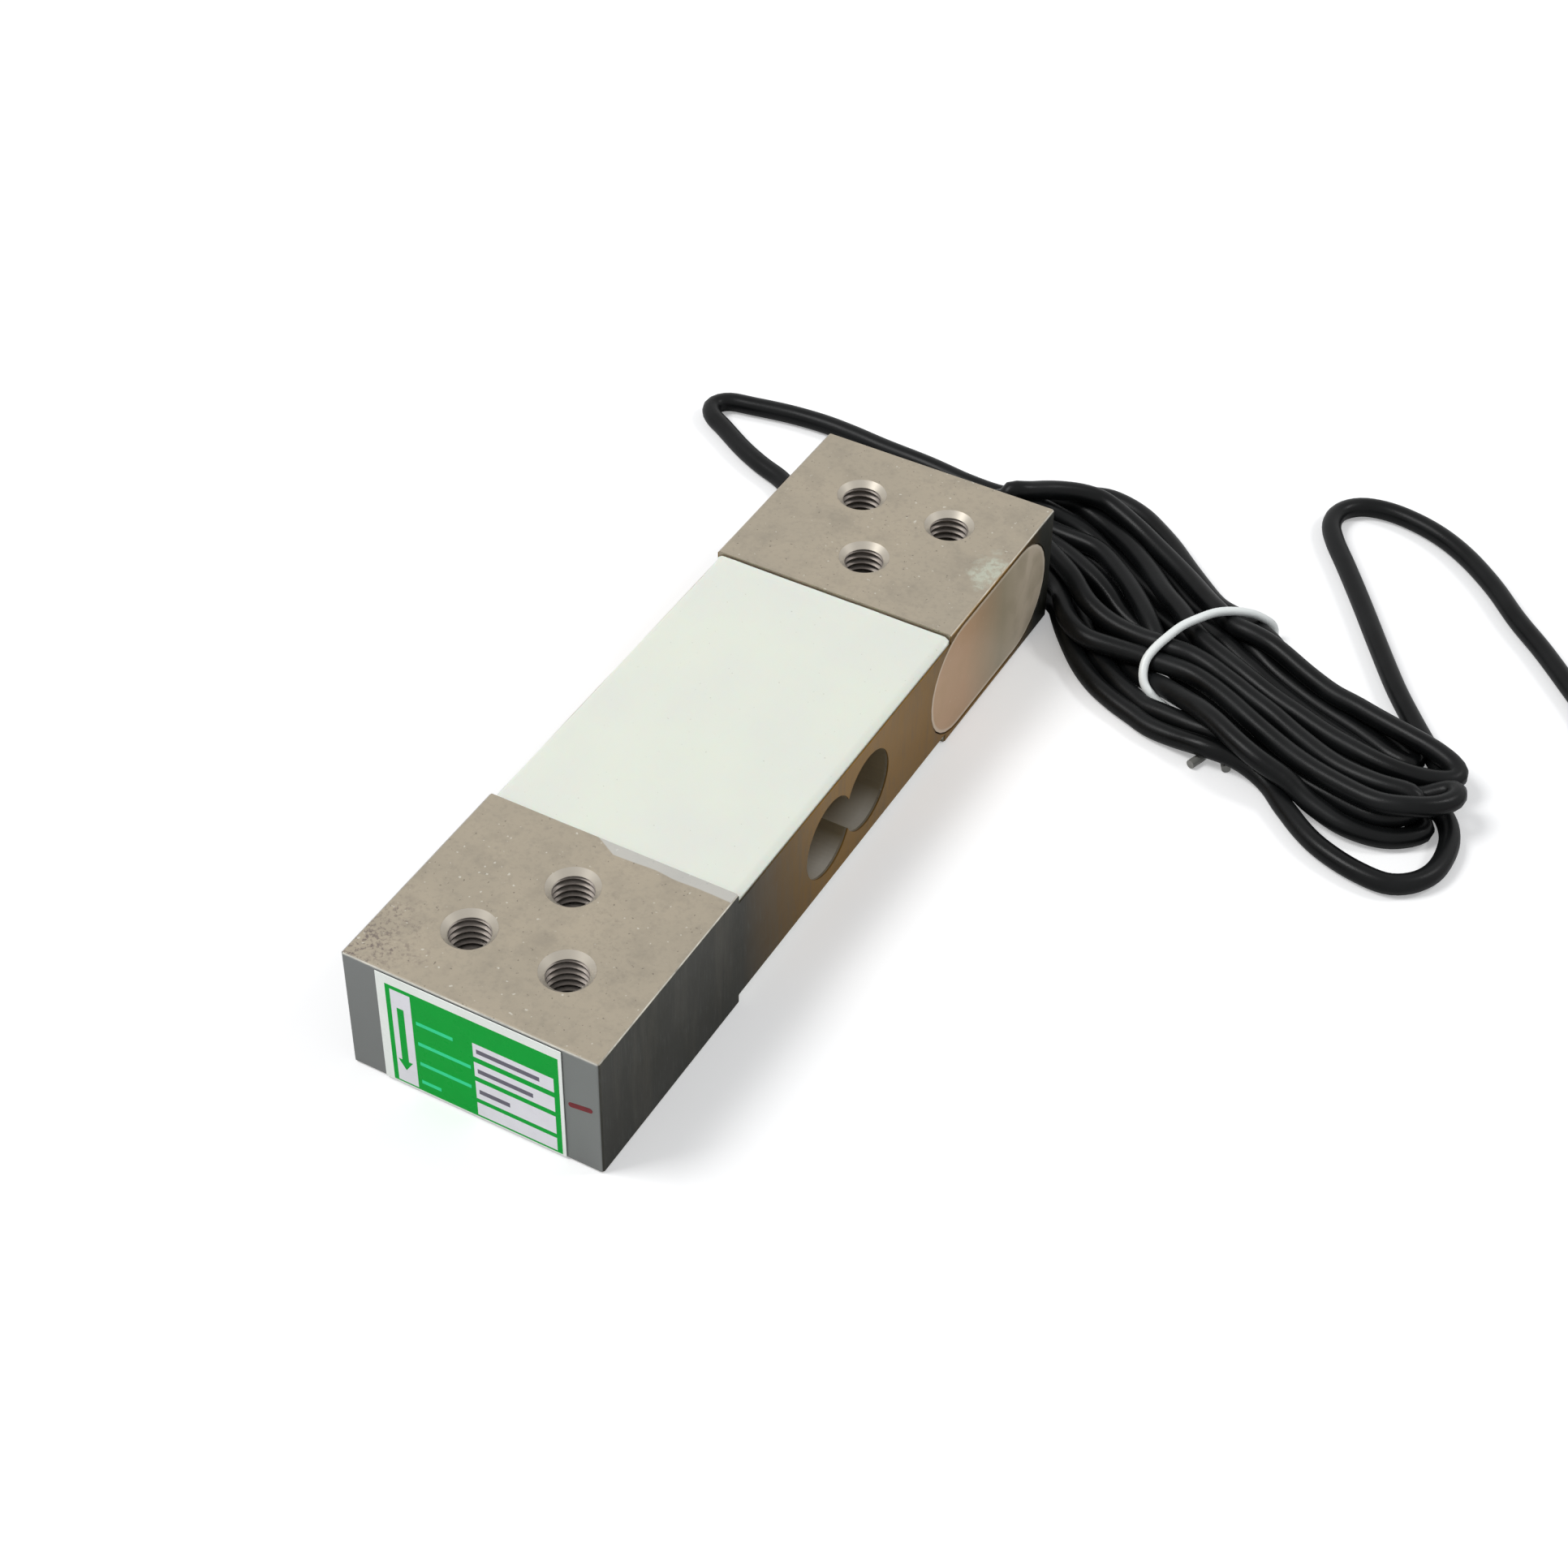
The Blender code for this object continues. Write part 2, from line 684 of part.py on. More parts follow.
def make_cable_seal():
    """A domed bead of black sealant round the cable where it leaves the side of the beam."""
    inner = cable_diameter / 2 + seat_gap
    shoulder = inner + seal_lip
    outer = seal_diameter / 2
    dome = [(inner, seal_height)]
    for step in range(5):
        angle = math.pi / 2 * (1 - step / 4)
        dome.append((shoulder + (outer - shoulder) * math.cos(angle), seal_height * math.sin(angle)))
    dome.append((inner, 0))
    seal = turned("cable_seal", dome, 32, closed=True)
    seal.rotation_euler = (0, -math.pi / 2, 0)
    seal.location = (-half_width - seat_gap, exit_y, exit_height)
    as_part(seal, cable_sheath())


def tie_points(past=0.0):
    """The tie's line, which can be made to run on past both of its ends."""
    points = smooth_points(in_metres(tie_route), tie_spacing)
    first = points[0] + (points[0] - points[1]).normalized() * past
    last = points[-1] + (points[-1] - points[-2]).normalized() * past
    return [first] + points[1:-1] + [last]


def make_tie():
    as_part(tube("cable_tie", tie_points(), tie_diameter), tie_plastic())


def slot_over(name, points, width, top):
    """An upright slot that follows the points, from half its width below them up to a level."""
    shape = bmesh.new()
    rings = []
    for order, point in enumerate(points):
        before = points[max(order - 1, 0)]
        after = points[min(order + 1, len(points) - 1)]
        onward = Vector((after.x - before.x, after.y - before.y, 0)).normalized()
        sideways = Vector((-onward.y, onward.x, 0)) * width / 2
        low = point.z - width / 2
        ring = []
        for side, level in ((-1, low), (1, low), (1, top), (-1, top)):
            place = point + sideways * side
            ring.append(shape.verts.new((place.x, place.y, level)))
        rings.append(ring)
    for near, far in zip(rings, rings[1:]):
        for corner in range(4):
            turn = (corner + 1) % 4
            shape.faces.new((near[corner], near[turn], far[turn], far[corner]))
    shape.faces.new(rings[0][::-1])
    shape.faces.new(rings[-1])
    bmesh.ops.recalc_face_normals(shape, faces=shape.faces)
    return mesh_object(name, shape)


def cushion(name, outline, height, rounding, steps):
    """A flat piece on Z = 0 from an outline listed anticlockwise, with its upper and lower edges rounded."""
    inward = []
    for before, after in zip(outline[-1:] + outline[:-1], outline[1:] + outline[:1]):
        onward = (after - before).normalized()
        inward.append(Vector((-onward.y, onward.x, 0)))
    levels = []
    for step in range(steps + 1):
        angle = math.pi / 2 * step / steps
        levels.append((rounding * (1 - math.sin(angle)), rounding * (1 - math.cos(angle))))
    levels += [(inset, height - level) for inset, level in levels[::-1]]
    shape = bmesh.new()
    rings = []
    for inset, level in levels:
        places = [point + normal * inset for point, normal in zip(outline, inward)]
        rings.append([shape.verts.new((place.x, place.y, level)) for place in places])
    for low, high in zip(rings, rings[1:]):
        for corner in range(len(outline)):
            turn = (corner + 1) % len(outline)
            shape.faces.new((low[corner], low[turn], high[turn], high[corner]))
    shape.faces.new(rings[0][::-1])
    shape.faces.new(rings[-1])
    return mesh_object(name, shape)


def make_hank():
    """The folded cable as one solid, which seats the tie in grooves that are open above and below."""
    outline = smooth_points([(x * MM, y * MM, 0) for x, y in hank_outline], outline_spacing, closed=True)
    hank = cushion("cable_hank", outline, hank_height, hank_rounding, hank_rounding_steps)
    as_part(hank, cable_sheath())
    groove = tube("space_cable_tie", tie_points(2 * cut_past), tie_diameter + 2 * seat_gap)
    cut(hank, as_cutter(made_mesh(groove)))
    raised = [point for point in tie_points() if point.z > tie_slot_from]
    width = tie_diameter + 3 * seat_gap
    cut(hank, as_cutter(slot_over("space_over_tie", raised, width, hank_height + cut_past)))


def fan_route(start, heading, turn, length, rest_z):
    """A wire that leaves start along heading, turns by an angle and comes down to rest on the surface."""
    points = [start]
    for step in range(1, fan_steps + 1):
        share = step / fan_steps
        angle = heading + turn * min(1.0, share / fan_turn_within)
        direction = Vector((math.cos(angle), math.sin(angle), 0))
        place = points[-1] + direction * length / fan_steps
        drop = max(0.0, 1.0 - share / fan_drop_within)
        place.z = rest_z + (start.z - rest_z) * drop
        points.append(place)
    return points


def make_free_end():
    """The heat-shrink sleeve and, out of it, the four cores with tinned tips and the shield's drain wire."""
    end = Vector(tail_route[-1]) * MM
    before = Vector(tail_route[-2]) * MM
    flat = (end - before).normalized()
    heading = math.atan2(flat.y, flat.x)
    sideways = Vector((-flat.y, flat.x, 0))
    axis_z = sleeve_diameter / 2
    first = end + flat * seat_gap
    last = first + flat * sleeve_length
    first.z = axis_z
    last.z = axis_z
    sleeve = [first.lerp(last, share) for share in (0.0, 0.5, 1.0)]
    as_part(tube("end_sleeve", sleeve, sleeve_diameter, 3), cable_sheath())
    root = last + flat * seat_gap
    places = {
        "conductor_red": 1,
        "conductor_black": 2,
        "shield_drain": 0,
        "conductor_green": 3,
        "conductor_white": 4,
    }
    for order, (name, place) in enumerate(places.items()):
        angle = 2 * math.pi * place / len(places)
        start = root - sideways * math.sin(angle) * conductor_circle
        start.z += math.cos(angle) * conductor_circle
        turn = fan_turn * (order + fan_first)
        if name == "shield_drain":
            points = fan_route(start, heading, turn, drain_length, drain_diameter / 2)
            as_part(tube(name, points, drain_diameter), tinned_copper())
            continue
        points = fan_route(start, heading, turn, conductor_length, conductor_diameter / 2)
        as_part(tube(name, points, conductor_diameter), insulation(name.split("_")[1]))
        onward = (points[-1] - points[-2]).normalized()
        tip = [points[-1] + onward * seat_gap, points[-1] + onward * (seat_gap + tip_length)]
        as_part(tube(name.replace("conductor", "tip"), tip, tip_diameter), tinned_copper())


def main():
    global parts, cutters
    clear_scene()
    parts = new_collection("strain_gauge_load_cell")
    cutters = new_collection("load_cell_cutters")
    make_beam()
    make_gauge_side("top", 1)
    make_gauge_side("bottom", -1)
    make_junction_board()
    make_inner_conductors()
    make_potting()
    make_label()
    make_cable()
    make_cable_seal()
    make_hank()
    make_tie()
    make_free_end()


main()
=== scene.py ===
# %% Load the frame
import math

import bmesh
import bpy
import numpy as np
from mathutils import Matrix, Vector, noise


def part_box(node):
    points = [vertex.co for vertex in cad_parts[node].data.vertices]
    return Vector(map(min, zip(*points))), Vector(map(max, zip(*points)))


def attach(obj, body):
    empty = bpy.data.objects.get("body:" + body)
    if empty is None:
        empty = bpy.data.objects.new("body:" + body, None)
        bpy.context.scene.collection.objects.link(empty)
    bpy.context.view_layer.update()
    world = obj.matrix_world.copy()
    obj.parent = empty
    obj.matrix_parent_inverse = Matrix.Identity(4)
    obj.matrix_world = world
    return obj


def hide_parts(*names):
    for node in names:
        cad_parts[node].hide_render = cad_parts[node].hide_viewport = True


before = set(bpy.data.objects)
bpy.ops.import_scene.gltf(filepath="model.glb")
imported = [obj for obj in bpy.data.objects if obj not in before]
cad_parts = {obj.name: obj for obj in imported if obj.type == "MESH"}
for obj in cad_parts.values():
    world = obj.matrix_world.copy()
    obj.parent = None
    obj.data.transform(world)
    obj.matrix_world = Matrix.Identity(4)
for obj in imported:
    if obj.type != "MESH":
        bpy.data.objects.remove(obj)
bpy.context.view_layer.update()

MM = 0.001


# %% [markdown]
# The camera comes first. Its place and turn were solved from the corners of the beam and the centres of the
# tapped holes. A camera could also be set by eye, but it would be less exact. The three directions below are
# the camera's own axes.

# %% Camera
CAMERA_PLACE = Vector((180.856, -308.998, 339.799)) * MM
CAMERA_RIGHT = Vector((0.87063582, 0.49179846, 0.01129367))
CAMERA_UP = Vector((-0.34145479, 0.58763567, 0.73354818))
CAMERA_BACK = Vector((0.3541213, -0.6425096, 0.67954361))
SENSOR = 36.0
LENS = 68.01

camera_data = bpy.data.cameras.new("camera")
camera_data.sensor_width = SENSOR
camera_data.lens = LENS
camera_data.clip_start = 0.01
camera_data.clip_end = 20.0
camera = bpy.data.objects.new("camera", camera_data)
turned = Matrix((CAMERA_RIGHT, CAMERA_UP, CAMERA_BACK)).transposed()
camera.matrix_world = Matrix.LocRotScale(CAMERA_PLACE, turned, None)
bpy.context.collection.objects.link(camera)
bpy.context.scene.camera = camera
print("camera at", [round(c / MM, 1) for c in CAMERA_PLACE])


# %% [markdown]
# The cable is one 3.6 mm shielded lead of about 1.8 m. It leaves the side of the beam, runs round its end and
# is folded into a hank, which a wire tie holds at its waist. One way to make a hank is to draw each fold as
# its own tube, but then nothing rests on anything. Here the whole cable is one line through given points, and
# a short calculation lets it settle: it falls, its passes push each other about a diameter apart, and the tie
# holds them. Bends that are too tight are eased, though some folds stay tighter than real ones.

# %% The cable's line outside the hank, in millimetres
CABLE_DIAMETER = 3.6


def laid(points):
    """The points, with the height of a cable that lies on the floor where they give none."""
    return [(*p, CABLE_DIAMETER / 2) if len(p) == 2 else p for p in points]


lead_route = laid([
    (-10.0, 53.9, 9.0), (-22.5, 53.9, 9.0), (-25.8, 54.1, 8.6), (-28.8, 55.9, 7.0), (-30.4, 59.8, 4.6),
    (-31.0, 65.0, 2.8), (-30.8, 70.5, 1.9), (-30.6, 75.6), (-32.6, 80.4), (-37.2, 83.9),
    (-42.4, 85.9), (-48.1, 88.6), (-55.0, 92.8), (-59.4, 95.6), (-60.5, 98.4),
    (-58.3, 100.8), (-54.2, 101.7), (-49.7, 102.6), (-45.1, 103.3), (-38.5, 103.7),
    (-32.6, 103.4), (-25.2, 102.6), (-15.1, 101.9), (-7.4, 100.8),
])
tail_route = laid([
    (93.8, 74.9), (90.2, 79.2), (85.2, 85.3), (78.7, 94.2), (71.4, 104.4),
    (64.6, 113.6), (60.2, 119.4), (57.9, 123.6), (57.8, 127.8), (60.5, 131.3),
    (65.2, 132.7), (70.8, 132.3), (76.8, 130.5), (82.8, 127.2), (90.2, 121.3),
    (97.3, 114.2), (103.7, 108.6), (110.3, 102.2), (116.5, 95.8), (121.5, 88.8),
    (125.0, 81.0), (127.0, 73.5),
])
print("lead", len(lead_route), "points, tail", len(tail_route), "points")


# %% The passes of the hank, in millimetres, each from its left end to its right end
PASSES = [
    [(1.5, 100.6), (6, 102.6), (11.5, 105.6), (15.2, 108.4), (18.5, 109.8),
     (22, 109.6), (26.5, 108.2), (31.3, 105.2), (35.6, 102), (39.2, 98.8),
     (44.3, 94.5), (49.8, 90.2, 2.2), (57.8, 87, 3.2), (66, 82.4, 2.2), (74, 78.4),
     (84, 74.6), (90, 71.4)],
    [(9.5, 101.4), (15, 102.9), (22, 102.6), (29.1, 100), (37.2, 94.6),
     (46, 88), (55.5, 83.4, 3.4), (64, 79, 2.2), (74, 74.8), (84, 71.2), (90, 68.2)],
    [(13, 83.5), (19, 80), (24.5, 75.6), (29.1, 69.8), (34.8, 63.7),
     (39.6, 60.2), (44, 58.3), (47.6, 57.2), (51.7, 55.2), (56.5, 54.2, 2.2),
     (62.9, 53.4, 3.2), (69, 53.9, 2.6), (75.4, 51.9), (79.9, 48.2), (83.4, 45),
     (87.4, 42.2), (92.5, 40.1)],
    [(10, 95), (18, 93.6), (26, 90.6), (34, 86), (43, 81, 2.2), (52.4, 76.8, 3.4),
     (62, 72.4, 2.2), (74, 67.6), (84, 64.6), (94, 62)],
    [(13, 89, 2), (20, 85.6), (28, 79.6), (34, 74), (39.5, 69.6), (45.1, 65.6, 2.2),
     (50.9, 63, 3.6), (56.5, 60.4, 4.6), (62, 57.6, 5.4), (66.6, 55.2, 5.2), (71.3, 53.2, 4.6),
     (77.3, 52, 3), (81, 50.7, 2), (85.2, 49.5), (89.1, 48.6), (93.4, 48.8)],
    [(10, 94, 4.4), (17.7, 92.8, 4.4), (24.4, 91.8, 4.4), (31, 87.5, 4.4), (37.7, 81.5, 4.4),
     (43.4, 75.6, 4), (48.8, 70.2, 3.4), (60, 65.4, 2.6), (72, 60.8), (84, 58), (94, 56.4)],
    [(13, 86, 4.9), (19, 81.4, 4.9), (24.6, 76.2, 4.9), (28.6, 70.4, 4.9), (33.6, 67.4, 4.8),
     (39.7, 67.4, 4.8), (45.1, 67.8, 4.8), (49.8, 67.6, 5.2), (54.6, 67.4, 5.2), (59.2, 65.9, 5.2),
     (69, 61, 4.8), (78.2, 56.8, 4.6), (86.4, 54.6, 4.4), (93.9, 53.7, 4.2)],
    [(11, 91.4, 3), (19, 89.6), (27, 84.8), (35, 79.6), (43, 76, 2.4), (50.4, 73.4, 3.4),
     (62, 69, 2.2), (74, 64), (84, 61.2), (94, 59.2)],
    [(12, 89.4, 4.9), (18, 85.2, 4.9), (24, 80.4, 4.9), (30, 75.8, 4.9), (36, 73.2, 4.9), (43, 71.6, 5.6),
     (48.5, 71.1, 6.4), (52.2, 71.3, 6), (59, 70, 5), (64.6, 67.8, 4.4), (69.9, 66, 3.8),
     (75.5, 63.5, 3.4), (84.2, 60.4, 3), (92, 59.8, 2.8)],
    [(11, 87, 2), (18, 82.6), (26.6, 78.2), (32, 71.8), (37.6, 66.4), (43.4, 62.2),
     (48.6, 60, 2.4), (56.5, 58, 3), (64, 57.3, 3), (74, 56.8), (84, 54.4), (94, 52.8)],
    [(7, 97.5, 5.4), (10.7, 99.3, 5.4), (15.5, 101, 5.2), (19.5, 99.9, 5), (26, 96.6, 5),
     (30.6, 93.5, 5.2), (35.8, 89.2, 5.6), (41.1, 84.2, 6.2), (46.3, 79.9, 6.8), (51.1, 75.6, 6.8),
     (56.3, 72.6, 6.6), (61.1, 70.4, 6.2), (65.5, 69, 5.8), (69.9, 67.7, 5.4), (74.1, 66.5, 5.2),
     (82.7, 63.6, 5), (90.7, 61.9, 5)],
    [(7.4, 96.2, 6.4), (10.7, 100.2, 6.2), (15.5, 103, 6), (19.8, 103.7, 5.6), (24.7, 101.8, 5.2),
     (30, 99.3, 5), (35.5, 96.1, 5), (41.8, 92.2, 5), (48.8, 87.1, 5.4), (52.8, 84.5, 5.8),
     (56.8, 82.6, 5.6), (63.4, 81.1, 5.4), (72, 77, 5.2), (77.4, 74.7, 5.2), (81.6, 73.8, 5.2),
     (85.6, 72.6, 5.3), (92, 70.9, 5.4)],
    [(11, 98.4), (18, 98.4), (26, 95.2), (34, 90.2), (44, 84.4, 2.2), (54, 80.1, 3.4),
     (62, 75.8, 2.2), (74, 71.2), (84, 67.9), (92, 65.2)],
]
RIGHT_FOLDS = [
    [(94, 68.9), (95.4, 67), (93.6, 66.6)],
    [(97.1, 39.1), (101.3, 39.1), (104.7, 41.3), (106.8, 45.1), (107.1, 50.3),
     (106.1, 54.9), (103.4, 59), (99.5, 61)],
    [(97.7, 50.4), (101.4, 53.2), (102.2, 55.4), (99.5, 56.6)],
    [(98.6, 55.3, 4.2), (102.8, 58.3, 4.2), (104.4, 61.4, 4.2), (103.6, 63.6, 3.8), (101, 62, 2.8),
     (98, 59.6)],
    [(97, 60.4, 2.6), (99.4, 60, 2.2), (99, 57), (97, 54)],
    [(96.4, 61.9, 5), (101, 63, 5), (103.6, 65.2, 5), (102.2, 67.2, 5.2), (97.3, 69.5, 5.4)],
]
LEFT_FOLDS = [
    [(4.5, 98), (-0.5, 93.6), (1.5, 88.6), (7, 85.8)],
    [(5, 94.6), (3, 92.4), (6.5, 90.6)],
    [(6, 93, 4.6), (4, 90.6, 4.8), (7.5, 88.6, 4.9)],
    [(7, 92.2, 4.2), (6, 93.4, 4.9), (8, 91.8, 4.9)],
    [(5, 89.4, 3.4), (1.5, 92.4, 4.8), (3, 95.6, 5.2)],
    [(5, 94, 6.4), (5, 92.6, 5), (7, 94.4, 3)],
]
TURN_OUT = [(96.8, 63.8), (99.8, 65.2), (99.6, 68.2), (95.2, 73.2)]
print("hank of", len(PASSES), "passes and", len(RIGHT_FOLDS) + len(LEFT_FOLDS), "folds")


# %% Smooth lines through chosen points
def catmull_rom(points, per_span):
    """A dense smooth line through the points."""
    p = np.array(points, float)
    p = np.vstack([2 * p[0] - p[1], p, 2 * p[-1] - p[-2]])
    line = []
    for a, b, c, d in zip(p, p[1:], p[2:], p[3:]):
        t0 = 0.0
        t1 = t0 + math.sqrt(np.linalg.norm(b - a))
        t2 = t1 + math.sqrt(np.linalg.norm(c - b))
        t3 = t2 + math.sqrt(np.linalg.norm(d - c))
        t = np.linspace(t1, t2, per_span, endpoint=False)[:, None]
        ab = (t1 - t) / (t1 - t0) * a + (t - t0) / (t1 - t0) * b
        bc = (t2 - t) / (t2 - t1) * b + (t - t1) / (t2 - t1) * c
        cd = (t3 - t) / (t3 - t2) * c + (t - t2) / (t3 - t2) * d
        abc = (t2 - t) / (t2 - t0) * ab + (t - t0) / (t2 - t0) * bc
        bcd = (t3 - t) / (t3 - t1) * bc + (t - t1) / (t3 - t1) * cd
        line.append((t2 - t) / (t2 - t1) * abc + (t - t1) / (t2 - t1) * bcd)
    return np.vstack(line + [p[-2:-1]])


def evenly(line, spacing):
    """The same line as equal steps of about the spacing."""
    steps = np.linalg.norm(np.diff(line, axis=0), axis=1)
    passed = np.concatenate([[0.0], np.cumsum(steps)])
    count = max(2, round(passed[-1] / spacing))
    at = np.linspace(0.0, passed[-1], count + 1)
    return np.stack([np.interp(at, passed, line[:, k]) for k in range(3)], 1)


def length_of(line):
    return float(np.linalg.norm(np.diff(line, axis=0), axis=1).sum())


# %% Passes and folds joined to one route
def hank_route():
    """The hank's passes joined by their folds, from where the lead enters to where the tail leaves."""
    route = []
    for turn, points in enumerate(PASSES):
        if turn % 2:
            route += points[::-1] + LEFT_FOLDS[turn // 2]
        elif turn < len(PASSES) - 1:
            route += points + RIGHT_FOLDS[turn // 2]
        else:
            route += points
    return laid(route + TURN_OUT)


print("hank route", len(hank_route()), "points")


# %% [markdown]
# The tie is a white coated wire that goes once round the hank, and its two ends stick out at the front. It
# could be a ring, but a ring has no ends and stands off the cable. It is one open line over the hank and back
# under it, and it comes before the settling, because the cable's passes are pushed clear of it there.

# %% The tie's line
TIE_DIAMETER = 1.6
TIE_ROUTE = [
    (61.5, 50.4, 0.85), (62.8, 54.6, 0.85), (62.6, 56.4, 0.85), (60.0, 58.0, 0.85), (55.6, 59.9, 0.95),
    (52.4, 61.0, 1.4), (50.4, 61.2, 2.2), (48.9, 61.4, 3.1), (47.5, 62.0, 4.0), (46.6, 63.0, 5.2),
    (46.1, 65.0, 6.8), (46.6, 67.3, 8.0), (47.7, 70.3, 9.0), (48.9, 73.5, 9.6), (50.6, 76.7, 9.7),
    (52.3, 80.0, 9.3), (54.4, 83.0, 8.4), (57.4, 86.3, 6.6), (59.4, 88.0, 4.8), (60.4, 89.0, 3.2),
    (60.8, 89.0, 1.6), (60.8, 87.0, 0.95), (60.8, 80.0, 0.85), (61.8, 72.0, 0.85), (63.4, 64.0, 0.85),
    (64.7, 58.0, 0.85), (65.6, 55.4, 0.85), (67.3, 52.4, 0.85),
]
tie_line = evenly(catmull_rom(TIE_ROUTE, 12), 0.8)
print("tie", round(length_of(tie_line), 1), "mm of wire")


# %% Settling the cable
SPACING = 2.2
ROUNDS = 600
FALL = 0.05
HOMING = 0.03
SMOOTHING = 0.6
PUSH = 0.45
TIE_PUSH = 0.35
REACH = 1.2
HELD_POINTS = 12
BEAM_CORNER = np.array([22.5, 75.0])
BESIDE_BEAM = 2.1
SPAN = 2
MOST_SAG = 2.4
OPENING = 0.25


def settle(line, fixed):
    """Lays the line down so that its passes rest on each other, on the floor and beside the beam and the tie.

    Each point is drawn back to the place that it was given, along the camera's line of sight, so that a pass
    that comes to rest higher or lower than planned keeps its place in the picture. Where three points a few
    steps apart bend too much, the middle one is drawn in and the outer two are pushed out.
    """
    p = line.copy()
    home = line.copy()
    eye = np.array(CAMERA_PLACE) / MM
    sight = (eye - home)[:, :2] / (eye - home)[:, 2:]
    count = len(p)
    free = np.ones(count, bool)
    free[:fixed[0]] = False
    free[count - fixed[1]:] = False
    index = np.arange(count)
    skip = int(2.2 * CABLE_DIAMETER / SPACING)
    tie = evenly(catmull_rom(TIE_ROUTE, 12), 1.0)
    keep = (CABLE_DIAMETER + TIE_DIAMETER) / 2
    live = np.nonzero(free)[0]
    lo, hi = max(0, live[0] - 20), min(count, live[-1] + 20)
    part = index[lo:hi]
    pairs = np.triu(np.abs(part[:, None] - part[None, :]) > skip)
    for r in range(ROUNDS):
        p[free, 2] -= FALL * min(1.0, 1.6 * (1 - r / ROUNDS))
        want = home[:, :2] + sight * (p[:, 2:] - home[:, 2:])
        p[free, :2] += (want[free] - p[free, :2]) * HOMING
        moved = p - home
        bend = np.zeros_like(p)
        bend[1:-1] = (moved[:-2] + moved[2:]) / 2 - moved[1:-1]
        p[free] += bend[free] * SMOOTHING
        sag = (p[:-2 * SPAN] + p[2 * SPAN:]) / 2 - p[SPAN:-SPAN]
        depth = np.linalg.norm(sag, axis=1, keepdims=True) + 1e-9
        opened = sag * np.maximum(1 - MOST_SAG / depth, 0) * OPENING
        inner, before, after = index[SPAN:-SPAN], index[:-2 * SPAN], index[2 * SPAN:]
        np.add.at(p, inner[free[inner]], opened[free[inner]])
        np.add.at(p, before[free[before]], -opened[free[before]] / 2)
        np.add.at(p, after[free[after]], -opened[free[after]] / 2)
        if r % 10 == 0:
            d = p[lo:hi, None, :] - p[None, lo:hi, :]
            i, j = np.nonzero(((d ** 2).sum(2) < (CABLE_DIAMETER + REACH) ** 2) & pairs)
            near = (i + lo, j + lo)
        i, j = near
        d = p[i] - p[j]
        far = np.linalg.norm(d, axis=1, keepdims=True) + 1e-9
        push = d / far * np.maximum(CABLE_DIAMETER - far, 0) * PUSH
        np.add.at(p, i[free[i]], push[free[i]])
        np.add.at(p, j[free[j]], -push[free[j]])
        d = p[lo:hi, None, :] - tie[None, :, :]
        far = np.sqrt((d ** 2).sum(2))
        i, j = np.nonzero(far < keep)
        gap = far[i, j][:, None] + 1e-9
        push = d[i, j] / gap * (keep - gap) * TIE_PUSH
        i = i + lo
        np.add.at(p, i[free[i]], push[free[i]])
        p[free, 2] = np.maximum(p[free, 2], CABLE_DIAMETER / 2)
        past = p[:, :2] - BEAM_CORNER
        inside = free & (past[:, 0] < BESIDE_BEAM) & (past[:, 1] < BESIDE_BEAM)
        behind = inside & (past[:, 1] >= past[:, 0])
        p[behind, 1] = BEAM_CORNER[1] + BESIDE_BEAM
        p[inside & ~behind, 0] = BEAM_CORNER[0] + BESIDE_BEAM
    return p


def cable_line():
    lead = evenly(catmull_rom(lead_route, 12), SPACING)
    tail = evenly(catmull_rom(tail_route, 12), SPACING)
    hank = catmull_rom([lead_route[-2], lead_route[-1]] + hank_route() + tail_route[:2], 12)
    starts = np.linalg.norm(hank - np.array(lead_route[-1]), axis=1).argmin()
    ends = np.linalg.norm(hank - np.array(tail_route[0]), axis=1).argmin()
    hank = evenly(hank[starts:ends + 1], SPACING)
    line = np.vstack([lead[:-1], hank[:-1], tail])
    return settle(line, (len(lead) - HELD_POINTS, len(tail) - HELD_POINTS))


settled = cable_line()
fine = evenly(catmull_rom(settled, 2), 1.1)
print("cable", round(length_of(fine), 1), "mm long, highest point", round(float(settled[:, 2].max()), 2))


# %% The cable and the tie as round wires
def round_wire(name, points, diameter, resolution):
    """A closed mesh tube along the points, which are in millimetres."""
    curve = bpy.data.curves.new(name + "_line", "CURVE")
    curve.dimensions = "3D"
    curve.bevel_depth = diameter * MM / 2
    curve.bevel_resolution = resolution
    curve.use_fill_caps = True
    spline = curve.splines.new("POLY")
    spline.points.add(len(points) - 1)
    for point, place in zip(spline.points, points):
        point.co = (*(Vector(place) * MM), 1)
    holder = bpy.data.objects.new(name + "_line", curve)
    bpy.context.collection.objects.link(holder)
    mesh = bpy.data.meshes.new_from_object(holder.evaluated_get(bpy.context.evaluated_depsgraph_get()))
    bpy.data.objects.remove(holder, do_unlink=True)
    shape = bmesh.new()
    shape.from_mesh(mesh)
    bmesh.ops.remove_doubles(shape, verts=shape.verts, dist=0.0005 * MM)
    bmesh.ops.recalc_face_normals(shape, faces=shape.faces)
    shape.to_mesh(mesh)
    shape.free()
    mesh.name = name
    mesh.shade_smooth()
    mesh.set_sharp_from_angle(angle=math.radians(60))
    wire = bpy.data.objects.new(name, mesh)
    bpy.context.collection.objects.link(wire)
    return wire


cable = round_wire("cable", fine, CABLE_DIAMETER, 6)
tie = round_wire("wire_tie", tie_line, TIE_DIAMETER, 4)
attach(tie, "root")
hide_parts("cable_tie")
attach(cable, "root")
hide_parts("cable_lead", "cable_hank", "cable_loop", "cable_tail")


